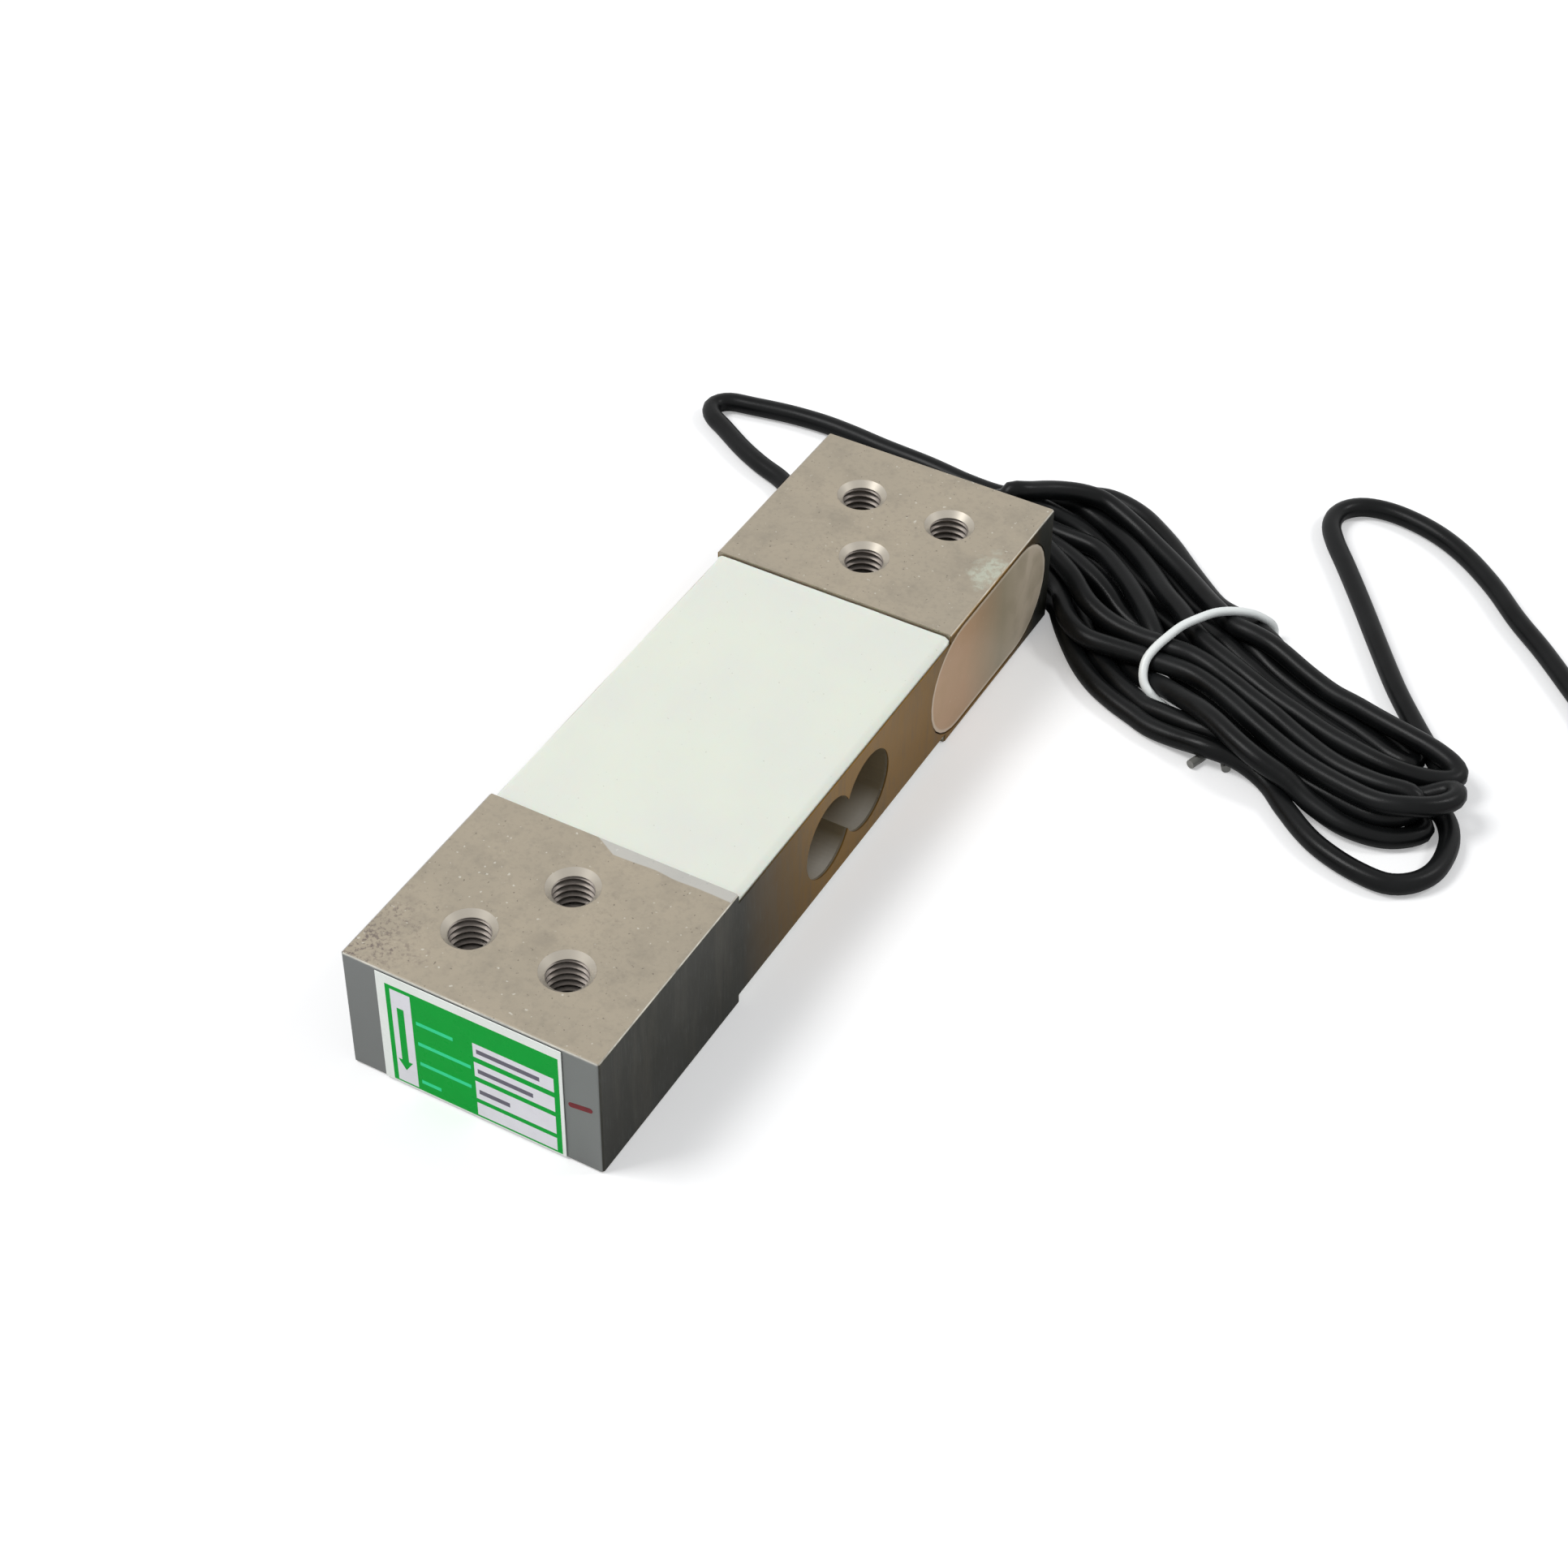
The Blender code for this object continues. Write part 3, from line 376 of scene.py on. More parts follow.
# %% [markdown]
# Materials are built from nodes. Each one starts as the Principled shader with its plain values on its own
# sockets, and patterns are then added on top: noise for mottling, stretched noise for brush marks, and spots
# in Object coordinates for what sits in one place, such as a smear of glue. Object coordinates are used
# because every piece sits at the origin, so a pattern stays where it is put.

# %% A helper that adds nodes to a material
class Paint:
    """A material whose pattern nodes are added one after another."""

    def __init__(self, name, colour, roughness, metallic=0.0, **sockets):
        self.material = bpy.data.materials.new(name)
        self.material.use_nodes = True
        self.tree = self.material.node_tree
        self.shader = self.tree.nodes["Principled BSDF"]
        self.shader.inputs["Base Color"].default_value = (*colour, 1)
        self.shader.inputs["Roughness"].default_value = roughness
        self.shader.inputs["Metallic"].default_value = metallic
        for socket, value in sockets.items():
            self.shader.inputs[socket.replace("_", " ")].default_value = value
        self.colour = None
        self.places = self.node("ShaderNodeTexCoord").outputs["Object"]

    def node(self, kind, **settings):
        made = self.tree.nodes.new(kind)
        for name, value in settings.items():
            setattr(made, name, value)
        return made

    def feed(self, made, **values):
        """Sets or links a node's inputs, which are named or numbered like in0."""
        for name, value in values.items():
            key = int(name[2:]) if name.startswith("in") and name[2:].isdigit() else name.replace("_", " ")
            socket = made.inputs[key]
            if isinstance(value, bpy.types.NodeSocket):
                self.tree.links.new(value, socket)
            else:
                socket.default_value = value
        return made

    def maths(self, operation, first, second=0.0):
        made = self.node("ShaderNodeMath", operation=operation)
        return self.feed(made, in0=first, in1=second).outputs[0]

    def stretched(self, scale, turn=(0, 0, 0)):
        made = self.node("ShaderNodeMapping")
        return self.feed(made, Vector=self.places, Scale=scale, Rotation=turn).outputs[0]

    def noise(self, size, detail=2.0, rough=0.5, where=None):
        """Noise whose blots are about size millimetres across."""
        made = self.node("ShaderNodeTexNoise")
        self.feed(made, Vector=where or self.places, Scale=1 / (size * MM), Detail=detail, Roughness=rough)
        return made.outputs[0]

    def between(self, value, low, high, to_low=0.0, to_high=1.0):
        """The value's range from low to high, spread over another range and held at its ends."""
        made = self.node("ShaderNodeMapRange")
        self.feed(made, in0=value, in1=low, in2=high, in3=to_low, in4=to_high)
        return made.outputs[0]

    def axis(self, name):
        return self.feed(self.node("ShaderNodeSeparateXYZ"), in0=self.places).outputs[name]

    def spot(self, centre, radii, edge=0.3, noise_size=2.0, ragged=0.5):
        """1 within an ellipsoid, in millimetres, and 0 outside, with a ragged edge."""
        made = self.node("ShaderNodeMapping", vector_type="TEXTURE")
        self.feed(made, Vector=self.places, Location=Vector(centre) * MM, Scale=Vector(radii) * MM)
        far = self.feed(self.node("ShaderNodeVectorMath", operation="LENGTH"), in0=made.outputs[0])
        wobble = self.between(self.noise(noise_size, 3.0), 0.3, 0.7, -ragged, ragged)
        return self.between(self.maths("ADD", far.outputs["Value"], wobble), 1 + edge, 1 - edge)

    def blend(self, share, first, second):
        made = self.node("ShaderNodeMix", data_type="RGBA")
        first = first if isinstance(first, bpy.types.NodeSocket) else (*first, 1)
        second = second if isinstance(second, bpy.types.NodeSocket) else (*second, 1)
        return self.feed(made, in0=share, in6=first, in7=second).outputs[2]

    def tint(self, share, colour):
        """Lays a colour over what is painted so far."""
        under = self.colour or tuple(self.shader.inputs["Base Color"].default_value)[:3]
        self.colour = self.blend(share, under, colour)
        self.tree.links.new(self.colour, self.shader.inputs["Base Color"])

    def gloss(self, value):
        self.tree.links.new(value, self.shader.inputs["Roughness"])

    def relief(self, height, strength, distance):
        """Bump over what is raised so far, with the height of a full step in millimetres."""
        made = self.node("ShaderNodeBump")
        self.feed(made, Strength=strength, Distance=distance * MM, Height=height)
        socket = self.shader.inputs["Normal"]
        if socket.links:
            self.tree.links.new(socket.links[0].from_socket, made.inputs["Normal"])
        self.tree.links.new(made.outputs[0], socket)


def dress(name, paint):
    """Gives a carried-over solid its material."""
    obj = bpy.data.objects[name]
    if obj.material_slots:
        obj.material_slots[0].material = paint.material
    else:
        obj.data.materials.append(paint.material)


# %% [markdown]
# The sheath is soft PVC, nearly black with a satin sheen. Flat black would lose the form of the hank, so the
# roughness varies and a very fine grain breaks up the highlights along each pass.

# %% Sheath, tie and seal
def mottled(name, colour, other, roughness, size, grain, metallic=0.0, **sockets):
    """A finish with soft blots of a second colour and a fine grain."""
    paint = Paint(name, colour, roughness, metallic, **sockets)
    blots = paint.noise(size, 4.0)
    paint.tint(paint.between(blots, 0.35, 0.7), other)
    paint.gloss(paint.between(blots, 0.3, 0.7, roughness - 0.06, roughness + 0.08))
    paint.relief(paint.noise(grain, 3.0, 0.6), 0.25, grain / 6)
    return paint


sheath = mottled(
    "sheath_black", (0.0035, 0.0038, 0.0040), (0.0080, 0.0086, 0.0090), 0.34, 9.0, 0.35,
    Specular_IOR_Level=0.14
)
cable.data.materials.append(sheath.material)
tie_coat = mottled("tie_white", (0.95, 0.98, 0.96), (0.88, 0.92, 0.90), 0.35, 5.0, 0.5)
# The tie's ends, low at the front near the floor, are painted grey as shade.
tie_coat.tint(
    tie_coat.maths("MULTIPLY", tie_coat.between(tie_coat.axis("Y"), 53.4 * MM, 52.8 * MM),
                   tie_coat.between(tie_coat.axis("Z"), 3 * MM, 2 * MM)), (0.20, 0.20, 0.185)
)
tie.data.materials.append(tie_coat.material)
seal = mottled("seal_black", (0.012, 0.012, 0.012), (0.02, 0.02, 0.021), 0.3, 3.0, 0.8)
dress("cable_seal", seal)
sleeve = mottled("sleeve_black", (0.010, 0.010, 0.010), (0.018, 0.018, 0.018), 0.5, 4.0, 0.4)
dress("end_sleeve", sleeve)
print("sheath, tie and seal")


# %% [markdown]
# The cores of the cable are thin coloured wires with tinned ends. They lie past the edge of the photograph,
# but the part can be seen from every side, so each gets the slight mottling of extruded plastic, and the
# tinned copper gets a fine mottling of its own.

# %% Cores, tips and what is sealed inside the beam
CORE_COLOURS = {
    "red": (0.50, 0.02, 0.02),
    "black": (0.014, 0.014, 0.014),
    "green": (0.02, 0.26, 0.06),
    "white": (0.74, 0.74, 0.70),
}
tinned = mottled("copper_tinned", (0.66, 0.64, 0.60), (0.52, 0.50, 0.47), 0.32, 0.6, 0.2, 1.0)
for name, colour in CORE_COLOURS.items():
    worn = tuple(0.8 * c + 0.02 for c in colour)
    core = mottled("core_" + name, colour, worn, 0.38, 2.5, 0.3)
    dress("conductor_" + name, core)
    dress("inner_conductor_" + name, core)
    dress("tip_" + name, tinned)
dress("shield_drain", tinned)
dress("top_wire_loom", tinned)
dress("bottom_wire_loom", tinned)

film = mottled("gauge_film", (0.55, 0.34, 0.09), (0.42, 0.24, 0.06), 0.3, 1.2, 0.3)
for name in ("gauge_top_near", "gauge_top_far", "gauge_bottom_near", "gauge_bottom_far",
             "top_terminal_strip", "bottom_terminal_strip"):
    dress(name, film)
dress("junction_board", mottled("board_green", (0.03, 0.20, 0.08), (0.02, 0.14, 0.06), 0.35, 1.5, 0.3))
resistor = mottled("resistor_blue", (0.20, 0.32, 0.50), (0.15, 0.25, 0.42), 0.3, 1.0, 0.3)
dress("span_resistor", resistor)
dress("zero_resistor", resistor)
print("cores and inner pieces")


# %% [markdown]
# The beam is one milled aluminium bar with a clear satin coat. Its faces were finished in different ways: the
# top is smooth and warm grey with small marks, the end is a cooler grey, and the long sides are brushed
# upright.
# The sides' colour is a painted reflection: dark near the ends and brown over most of their length. The bores
# in the middle carry painted shade and a painted highlight. A separate object for each face would be wrong,
# since it is one piece of metal, so the material chooses the finish by where a point lies on it.

# %% Beam
HALF_WIDTH = 22.5
HALF_LENGTH = 75.0
HEIGHT = 24.0
FACE_DEPTH = 0.25
TOP_DEPTH = 0.35


def beam_metal():
    paint = Paint("aluminium_satin", (0.40, 0.350, 0.272), 0.36, 0.72, IOR=1.45)
    x, y, z = paint.axis("X"), paint.axis("Y"), paint.axis("Z")
    across = paint.maths("ABSOLUTE", x)
    along = paint.maths("ABSOLUTE", y)
    face_x, face_y = (HALF_WIDTH - FACE_DEPTH) * MM, (HALF_LENGTH - FACE_DEPTH) * MM
    face_z = (HEIGHT - TOP_DEPTH) * MM
    soft = 0.05 * MM
    side = paint.between(across, face_x - soft, face_x + soft)
    end = paint.between(along, face_y - soft, face_y + soft)

    blots = paint.noise(16.0, 3.0)
    paint.tint(paint.between(blots, 0.4, 0.65, 0.0, 0.45), (0.455, 0.392, 0.30))
    clouds = paint.noise(5.0, 4.0, 0.65)
    paint.tint(paint.between(clouds, 0.48, 0.72, 0.0, 0.55), (0.30, 0.265, 0.21))
    fine_blots = paint.noise(0.9, 4.0, 0.6)
    paint.tint(paint.between(fine_blots, 0.5, 0.75, 0.0, 0.45), (0.29, 0.26, 0.21))
    flecks = paint.between(paint.noise(0.85, 1.0), 0.735, 0.775, 0.0, 0.6)
    paint.tint(flecks, (0.70, 0.68, 0.60))
    turned_places = paint.stretched((1, 1, 1), (0.4, 0, 1.1))
    pits = paint.between(paint.noise(0.6, 1.0, 0.5, turned_places), 0.73, 0.76, 0.0, 0.6)
    paint.tint(pits, (0.13, 0.11, 0.09))
    dirt = paint.maths("MULTIPLY", paint.spot((-20.5, -72.5, HEIGHT), (5.5, 8.5, 3.0), 0.8, 3.0, 0.6),
                       paint.between(paint.noise(0.7, 3.0, 0.7), 0.5, 0.62, 0.0, 0.75))
    paint.tint(dirt, (0.13, 0.10, 0.10))
    stains = paint.maths("MULTIPLY", paint.spot((10.0, -54.0, HEIGHT), (7.0, 8.0, 3.0), 0.9, 4.0, 0.7),
                         paint.between(paint.noise(1.3, 3.0, 0.7), 0.55, 0.72, 0.0, 0.45))
    paint.tint(stains, (0.22, 0.19, 0.155))
    glue = paint.maths("MULTIPLY", paint.spot((20.4, 53.4, HEIGHT), (2.6, 4.4, 2.0), 0.35, 2.2, 0.55),
                       paint.between(paint.noise(0.9, 3.0, 0.6), 0.38, 0.56, 0.2, 0.9))
    paint.tint(glue, (0.50, 0.52, 0.43))
    smear_start = paint.between(x, -2.5 * MM, 1.5 * MM, 0.0, 2.0 * MM)
    smear_edge = paint.maths("ADD", y, paint.maths("ADD", smear_start, paint.maths(
        "MULTIPLY", paint.noise(7.0, 1.0), 0.8 * MM)))
    smear = paint.maths("MULTIPLY", paint.between(smear_edge, -34.9 * MM, -34.7 * MM, 0.0, 0.62),
                        paint.maths("MULTIPLY", paint.maths("LESS_THAN", y, 0.0),
                                    paint.maths("GREATER_THAN", z, face_z)))
    paint.tint(smear, (0.60, 0.615, 0.60))

    paint.tint(end, (0.215, 0.222, 0.216))
    brushed = paint.noise(2.4, 4.0, 0.6, paint.stretched((1.0, 1.0, 0.10), (0.2, 0, 0)))
    lines = paint.noise(0.45, 3.0, 0.7, paint.stretched((1.0, 1.0, 0.10), (0.12, 0, 0)))
    # The sides' base colour is painted reflection, dark near the ends and brown in between; the brush marks
    # laid over it are the metal's own.
    painted_brown_reflection = paint.between(y, -34 * MM, -8 * MM)
    side_painted_reflection_and_brushing = paint.blend(painted_brown_reflection, (0.034, 0.034, 0.026), (0.27, 0.150, 0.034))
    side_painted_reflection_and_brushing = paint.blend(paint.between(y, 56 * MM, 70 * MM), side_painted_reflection_and_brushing, (0.048, 0.05, 0.042))
    side_painted_reflection_and_brushing = paint.blend(paint.between(brushed, 0.5, 0.72, 0.0, 0.35), side_painted_reflection_and_brushing, (0.11, 0.10, 0.078))
    side_painted_reflection_and_brushing = paint.blend(paint.between(lines, 0.55, 0.72, 0.0, 0.45), side_painted_reflection_and_brushing, (0.10, 0.105, 0.10))
    paint.tint(side, side_painted_reflection_and_brushing)
    # Inside the bores in the middle of the beam the metal is painted darker and browner as shade, and a
    # painted highlight lies low near the outer rim.
    inside = paint.maths("MULTIPLY", paint.maths("LESS_THAN", across, (HALF_WIDTH - 0.6) * MM),
                         paint.maths("LESS_THAN", along, 16.0 * MM))
    lobes = paint.maths("MULTIPLY", inside, paint.maths("LESS_THAN", z, 20.5 * MM))
    paint.tint(lobes, (0.36, 0.30, 0.20))
    painted_gleam = paint.maths("MULTIPLY", paint.between(z, 7.5 * MM, 4.0 * MM),
                        paint.between(across, 15 * MM, 20.5 * MM))
    paint.tint(paint.maths("MULTIPLY", lobes, painted_gleam), (1.0, 0.97, 0.90))
    rim = paint.maths("MULTIPLY", paint.maths("MAXIMUM", side, end),
                      paint.between(z, face_z, face_z + 2 * soft))
    paint.tint(paint.maths("MULTIPLY", rim, paint.between(clouds, 0.3, 0.6, 0.35, 1.0)), (0.66, 0.63, 0.55))

    gloss = paint.between(blots, 0.3, 0.7, 0.30, 0.42)
    dull = paint.maths("ADD", paint.maths("MULTIPLY", glue, 0.2), paint.maths("MULTIPLY", side, 0.08))
    paint.gloss(paint.maths("ADD", gloss, dull))
    paint.relief(paint.noise(0.3, 3.0, 0.6), 0.12, 0.02)
    paint.relief(paint.noise(0.6, 2.0, 0.6, paint.stretched((1.0, 0.12, 1.0), (0, 0, 0.5))), 0.10, 0.02)
    paint.relief(brushed, 0.15, 0.06)
    paint.relief(glue, 0.6, 0.12)
    return paint


metal = beam_metal()
dress("beam_body", metal)
print("beam metal with", len(metal.tree.nodes), "nodes")


# %% [markdown]
# Each end of the beam has three M8 tapped holes. The solid model has plain bores at the root of the thread,
# so the thread itself is a ridge that winds down each bore. It repeats six times and follows a rule, so
# Geometry Nodes make it: a helix carries the ridge's section, the mouth of each hole is cut back to the cone
# of the countersink, and the finished thread is copied to six points.

# %% Thread tree
def thread_tree():
    tree = bpy.data.node_groups.new("tapped_thread", "GeometryNodeTree")
    faces = tree.interface
    faces.new_socket("Geometry", in_out="INPUT", socket_type="NodeSocketGeometry")
    for name in ("Pitch", "Root Diameter", "Crest Diameter", "Depth", "Countersink", "Embed"):
        faces.new_socket(name, in_out="INPUT", socket_type="NodeSocketFloat")
    faces.new_socket("Finish", in_out="INPUT", socket_type="NodeSocketMaterial")
    faces.new_socket("Geometry", in_out="OUTPUT", socket_type="NodeSocketGeometry")
    given = tree.nodes.new("NodeGroupInput").outputs
    result = tree.nodes.new("NodeGroupOutput")

    def node(kind, **settings):
        made = tree.nodes.new(kind)
        for name, value in settings.items():
            setattr(made, name, value)
        return made

    def put(value, socket):
        if isinstance(value, bpy.types.NodeSocket):
            tree.links.new(value, socket)
        else:
            socket.default_value = value

    def maths(operation, first, second=0.0):
        made = node("ShaderNodeMath", operation=operation)
        put(first, made.inputs[0])
        put(second, made.inputs[1])
        return made.outputs[0]

    def vector(x, y, z):
        made = node("ShaderNodeCombineXYZ")
        for value, socket in zip((x, y, z), made.inputs):
            put(value, socket)
        return made.outputs[0]

    half_pitch = maths("DIVIDE", given["Pitch"], 2)
    rise = maths("SUBTRACT", given["Depth"], maths("MULTIPLY", given["Pitch"], 1.1))
    outer = maths("ADD", maths("DIVIDE", given["Root Diameter"], 2), given["Embed"])
    inward = maths("SUBTRACT", maths("DIVIDE", given["Crest Diameter"], 2), outer)
    helix = node("GeometryNodeCurveSpiral")
    put(48, helix.inputs["Resolution"])
    put(maths("DIVIDE", rise, given["Pitch"]), helix.inputs["Rotations"])
    put(outer, helix.inputs["Start Radius"])
    put(outer, helix.inputs["End Radius"])
    put(rise, helix.inputs["Height"])
    put(True, helix.inputs["Reverse"])
    upright = node("GeometryNodeSetCurveNormal", mode="Z_UP")
    put(helix.outputs[0], upright.inputs["Curve"])
    crest = maths("DIVIDE", given["Pitch"], 12)
    foot = maths("MULTIPLY", half_pitch, 0.98)
    section = node("GeometryNodeCurvePrimitiveQuadrilateral", mode="POINTS")
    corners = [
        (0.0, maths("MULTIPLY", foot, -1)), (inward, maths("MULTIPLY", crest, -1)),
        (inward, crest), (0.0, foot),
    ]
    for order, (x, y) in enumerate(corners):
        put(vector(x, y, 0.0), section.inputs[f"Point {order + 1}"])
    swept = node("GeometryNodeCurveToMesh")
    put(upright.outputs[0], swept.inputs["Curve"])
    put(section.outputs[0], swept.inputs["Profile Curve"])
    put(True, swept.inputs["Fill Caps"])

    place = node("GeometryNodeInputPosition").outputs[0]
    parts = node("ShaderNodeSeparateXYZ")
    put(place, parts.inputs[0])
    x, y = parts.outputs["X"], parts.outputs["Y"]
    z = maths("ADD", parts.outputs["Z"], maths("MULTIPLY", given["Pitch"], 0.55))
    radius = maths("SQRT", maths("ADD", maths("MULTIPLY", x, x), maths("MULTIPLY", y, y)))
    mouth = maths("DIVIDE", given["Countersink"], 2)
    upper = maths("SUBTRACT", mouth, maths("SUBTRACT", given["Depth"], z))
    lower = maths("SUBTRACT", mouth, z)
    cone = maths("ADD", maths("MAXIMUM", upper, lower), 0.02 * MM)
    grow = maths("DIVIDE", maths("MAXIMUM", radius, cone), radius)
    moved = node("GeometryNodeSetPosition")
    put(swept.outputs[0], moved.inputs["Geometry"])
    put(vector(maths("MULTIPLY", x, grow), maths("MULTIPLY", y, grow), z), moved.inputs["Position"])

    together = node("GeometryNodeJoinGeometry")
    put(moved.outputs[0], together.inputs[0])
    edge, skin = 0.04 * MM, 0.02 * MM
    chamfer = maths("SUBTRACT", maths("SUBTRACT", mouth, edge), maths("DIVIDE", given["Crest Diameter"], 2))
    for side in (-1, 1):
        level = given["Depth"] if side > 0 else 0.0
        ring = node("GeometryNodeCurvePrimitiveCircle", mode="RADIUS")
        put(64, ring.inputs["Resolution"])
        put(outer, ring.inputs["Radius"])
        flat = node("GeometryNodeSetCurveNormal", mode="Z_UP")
        put(ring.outputs[0], flat.inputs["Curve"])
        wedge = node("GeometryNodeCurvePrimitiveQuadrilateral", mode="POINTS")
        lip = maths("SUBTRACT", maths("SUBTRACT", mouth, edge), outer)
        foot_depth = maths("ADD", chamfer, skin)
        corners = [
            (lip, skin), (maths("SUBTRACT", lip, chamfer), foot_depth), (0.0, foot_depth), (0.0, 0.5 * MM)
        ]
        for order, (out, down) in enumerate(corners):
            put(vector(out, maths("MULTIPLY", down, side), 0.0), wedge.inputs[f"Point {order + 1}"])
        collar = node("GeometryNodeCurveToMesh")
        put(flat.outputs[0], collar.inputs["Curve"])
        put(wedge.outputs[0], collar.inputs["Profile Curve"])
        lifted = node("GeometryNodeTransform")
        put(collar.outputs[0], lifted.inputs["Geometry"])
        put(vector(0.0, 0.0, level), lifted.inputs["Translation"])
        put(lifted.outputs[0], together.inputs[0])
    copies = node("GeometryNodeInstanceOnPoints")
    put(given["Geometry"], copies.inputs["Points"])
    put(together.outputs[0], copies.inputs["Instance"])
    real = node("GeometryNodeRealizeInstances")
    put(copies.outputs[0], real.inputs[0])
    finish = node("GeometryNodeSetMaterial")
    put(real.outputs[0], finish.inputs["Geometry"])
    put(given["Finish"], finish.inputs["Material"])
    put(finish.outputs[0], result.inputs["Geometry"])
    return tree


threads_tree = thread_tree()
print("thread tree with", len(threads_tree.nodes), "nodes")


# %% From a tree or a bmesh to a finished piece
def grown(name, points, tree, **values):
    """A mesh that a node tree makes from points, in millimetres, with its named inputs set."""
    seed_mesh = bpy.data.meshes.new(name + "_points")
    seed_mesh.from_pydata([Vector(p) * MM for p in points], [], [])
    holder = bpy.data.objects.new(name + "_holder", seed_mesh)
    bpy.context.collection.objects.link(holder)
    step = holder.modifiers.new("grow", "NODES")
    step.node_group = tree
    sockets = {item.name: item.identifier for item in tree.interface.items_tree if item.in_out == "INPUT"}
    for key, value in values.items():
        step[sockets[key.replace("_", " ")]] = value
    graph = bpy.context.evaluated_depsgraph_get()
    mesh = bpy.data.meshes.new_from_object(holder.evaluated_get(graph))
    mesh.name = name
    bpy.data.objects.remove(holder, do_unlink=True)
    made = bpy.data.objects.new(name, mesh)
    bpy.context.collection.objects.link(made)
    return made


def finished(name, shape, *paints):
    """An object from a bmesh, with its faces turned outwards and its materials given."""
    bmesh.ops.recalc_face_normals(shape, faces=shape.faces)
    mesh = bpy.data.meshes.new(name)
    shape.to_mesh(mesh)
    shape.free()
    for paint in paints:
        mesh.materials.append(paint.material)
    obj = bpy.data.objects.new(name, mesh)
    bpy.context.collection.objects.link(obj)
    return obj


def in_place(obj, slot, *nodes):
    """Says which body a finished piece rides on and what it stands for; slot is not used."""
    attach(obj, "root")
    if nodes:
        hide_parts(*nodes)


# %% Threads
HOLES = [(-8.6, -61.5), (8.6, -61.5), (0.0, -46.3), (-8.6, 61.5), (8.6, 61.5), (0.0, 46.3)]


def shaded_thread_metal():
    # The thread is a darker copy of the beam's aluminium: painted shade inside the holes. The countersinks at
    # both mouths are left lighter.
    paint = Paint("aluminium_thread_painted_shade", (0.20, 0.175, 0.155), 0.42, 0.6)
    paint.tint(paint.between(paint.noise(0.8, 3.0), 0.45, 0.75, 0.0, 0.5), (0.14, 0.12, 0.10))
    height = paint.axis("Z")
    upper = paint.between(height, 22.6 * MM, 23.1 * MM)
    lower = paint.between(height, 1.4 * MM, 0.9 * MM)
    paint.tint(paint.maths("MAXIMUM", upper, lower), (0.47, 0.43, 0.365))
    paint.relief(paint.noise(0.25, 2.0), 0.2, 0.02)
    return paint


threads = grown(
    "hole_threads", [(x, y, 0.0) for x, y in HOLES], threads_tree, Pitch=1.25 * MM, Root_Diameter=8.0 * MM,
    Crest_Diameter=6.7 * MM, Depth=HEIGHT * MM, Countersink=8.8 * MM, Embed=0.12 * MM,
    Finish=shaded_thread_metal().material,
)
threads.data.shade_smooth()
threads.data.set_sharp_from_angle(angle=math.radians(40))
in_place(threads, "milled_aluminium")
reach = [math.hypot(v.co.x / MM - HOLES[0][0], v.co.y / MM - HOLES[0][1]) for v in threads.data.vertices]
print("threads", len(threads.data.polygons), "faces, crest radius", round(min(reach), 2), "mm")


# %% [markdown]
# The gauges in the middle of the beam are covered with white silicone, brushed on by hand. A flat plate would
# look like plastic. The coat is a fine grid instead: it waves a little, climbs the ends of the recess where
# the liquid wetted the metal, rounds off at the open sides and keeps a few small dents.

# %% Silicone coats
COAT_STEP = 0.7
LIP_WIDTH = 1.0
LIP_DROP = 0.55
CLIMB_WIDTH = 1.4
CLIMB_RISE = 0.45
DENTS = 16


def coat_height(x, y, half, dents):
    """How far the coat stands above its plain level at a place, in millimetres."""
    height = 0.10 * noise.noise(Vector((x / 9, y / 9, 0.3)))
    height += 0.02 * noise.noise(Vector((x / 2.2, y / 2.2, 5.0)))
    from_side = half[0] - abs(x)
    from_end = half[1] - abs(y)
    if from_side < LIP_WIDTH:
        height -= LIP_DROP * (1 - math.sqrt(1 - (1 - from_side / LIP_WIDTH) ** 2))
    if from_end < CLIMB_WIDTH:
        height += CLIMB_RISE * (1 - from_end / CLIMB_WIDTH) ** 2
    for place_x, place_y, radius, depth in dents:
        near = 1 - math.hypot(x - place_x, y - place_y) / radius
        if near > 0:
            height -= depth * near ** 1.5
    return height


def make_coat(name, node, side, seed, finish):
    """The coat on one face of the beam; side is 1 above and -1 below."""
    low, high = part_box(node)
    half = ((high[0] - low[0]) / MM / 2, (high[1] - low[1]) / MM / 2)
    level = (high[2] if side > 0 else low[2]) / MM
    back = (low[2] if side > 0 else high[2]) / MM
    draw = np.random.default_rng(seed)
    dents = [
        (draw.uniform(-half[0] + 2, half[0] - 2), draw.uniform(-half[1] + 3, half[1] - 3),
         draw.uniform(0.6, 1.3), draw.uniform(0.05, 0.16)) for _ in range(DENTS)
    ]
    counts = [round(2 * h / COAT_STEP) for h in half]
    shape = bmesh.new()
    rows = []
    for j in range(counts[1] + 1):
        y = -half[1] + 2 * half[1] * j / counts[1]
        row = []
        for i in range(counts[0] + 1):
            x = -half[0] + 2 * half[0] * i / counts[0]
            z = level + side * coat_height(x, y, half, dents)
            row.append(shape.verts.new((x * MM, y * MM, z * MM)))
        rows.append(row)
    for near, far in zip(rows, rows[1:]):
        for i in range(counts[0]):
            shape.faces.new((near[i], near[i + 1], far[i + 1], far[i]))
    rim = rows[0] + [row[-1] for row in rows[1:-1]] + rows[-1][::-1] + [row[0] for row in rows[-2:0:-1]]
    under = [shape.verts.new((v.co.x, v.co.y, back * MM)) for v in rim]
    for k in range(len(rim)):
        turn = (k + 1) % len(rim)
        shape.faces.new((rim[turn], rim[k], under[k], under[turn]))
    shape.faces.new(under[::-1])
    coat = finished(name, shape, finish)
    coat.data.shade_smooth()
    coat.data.set_sharp_from_angle(angle=math.radians(50))
    in_place(coat, "white_silicone", node)
    return coat


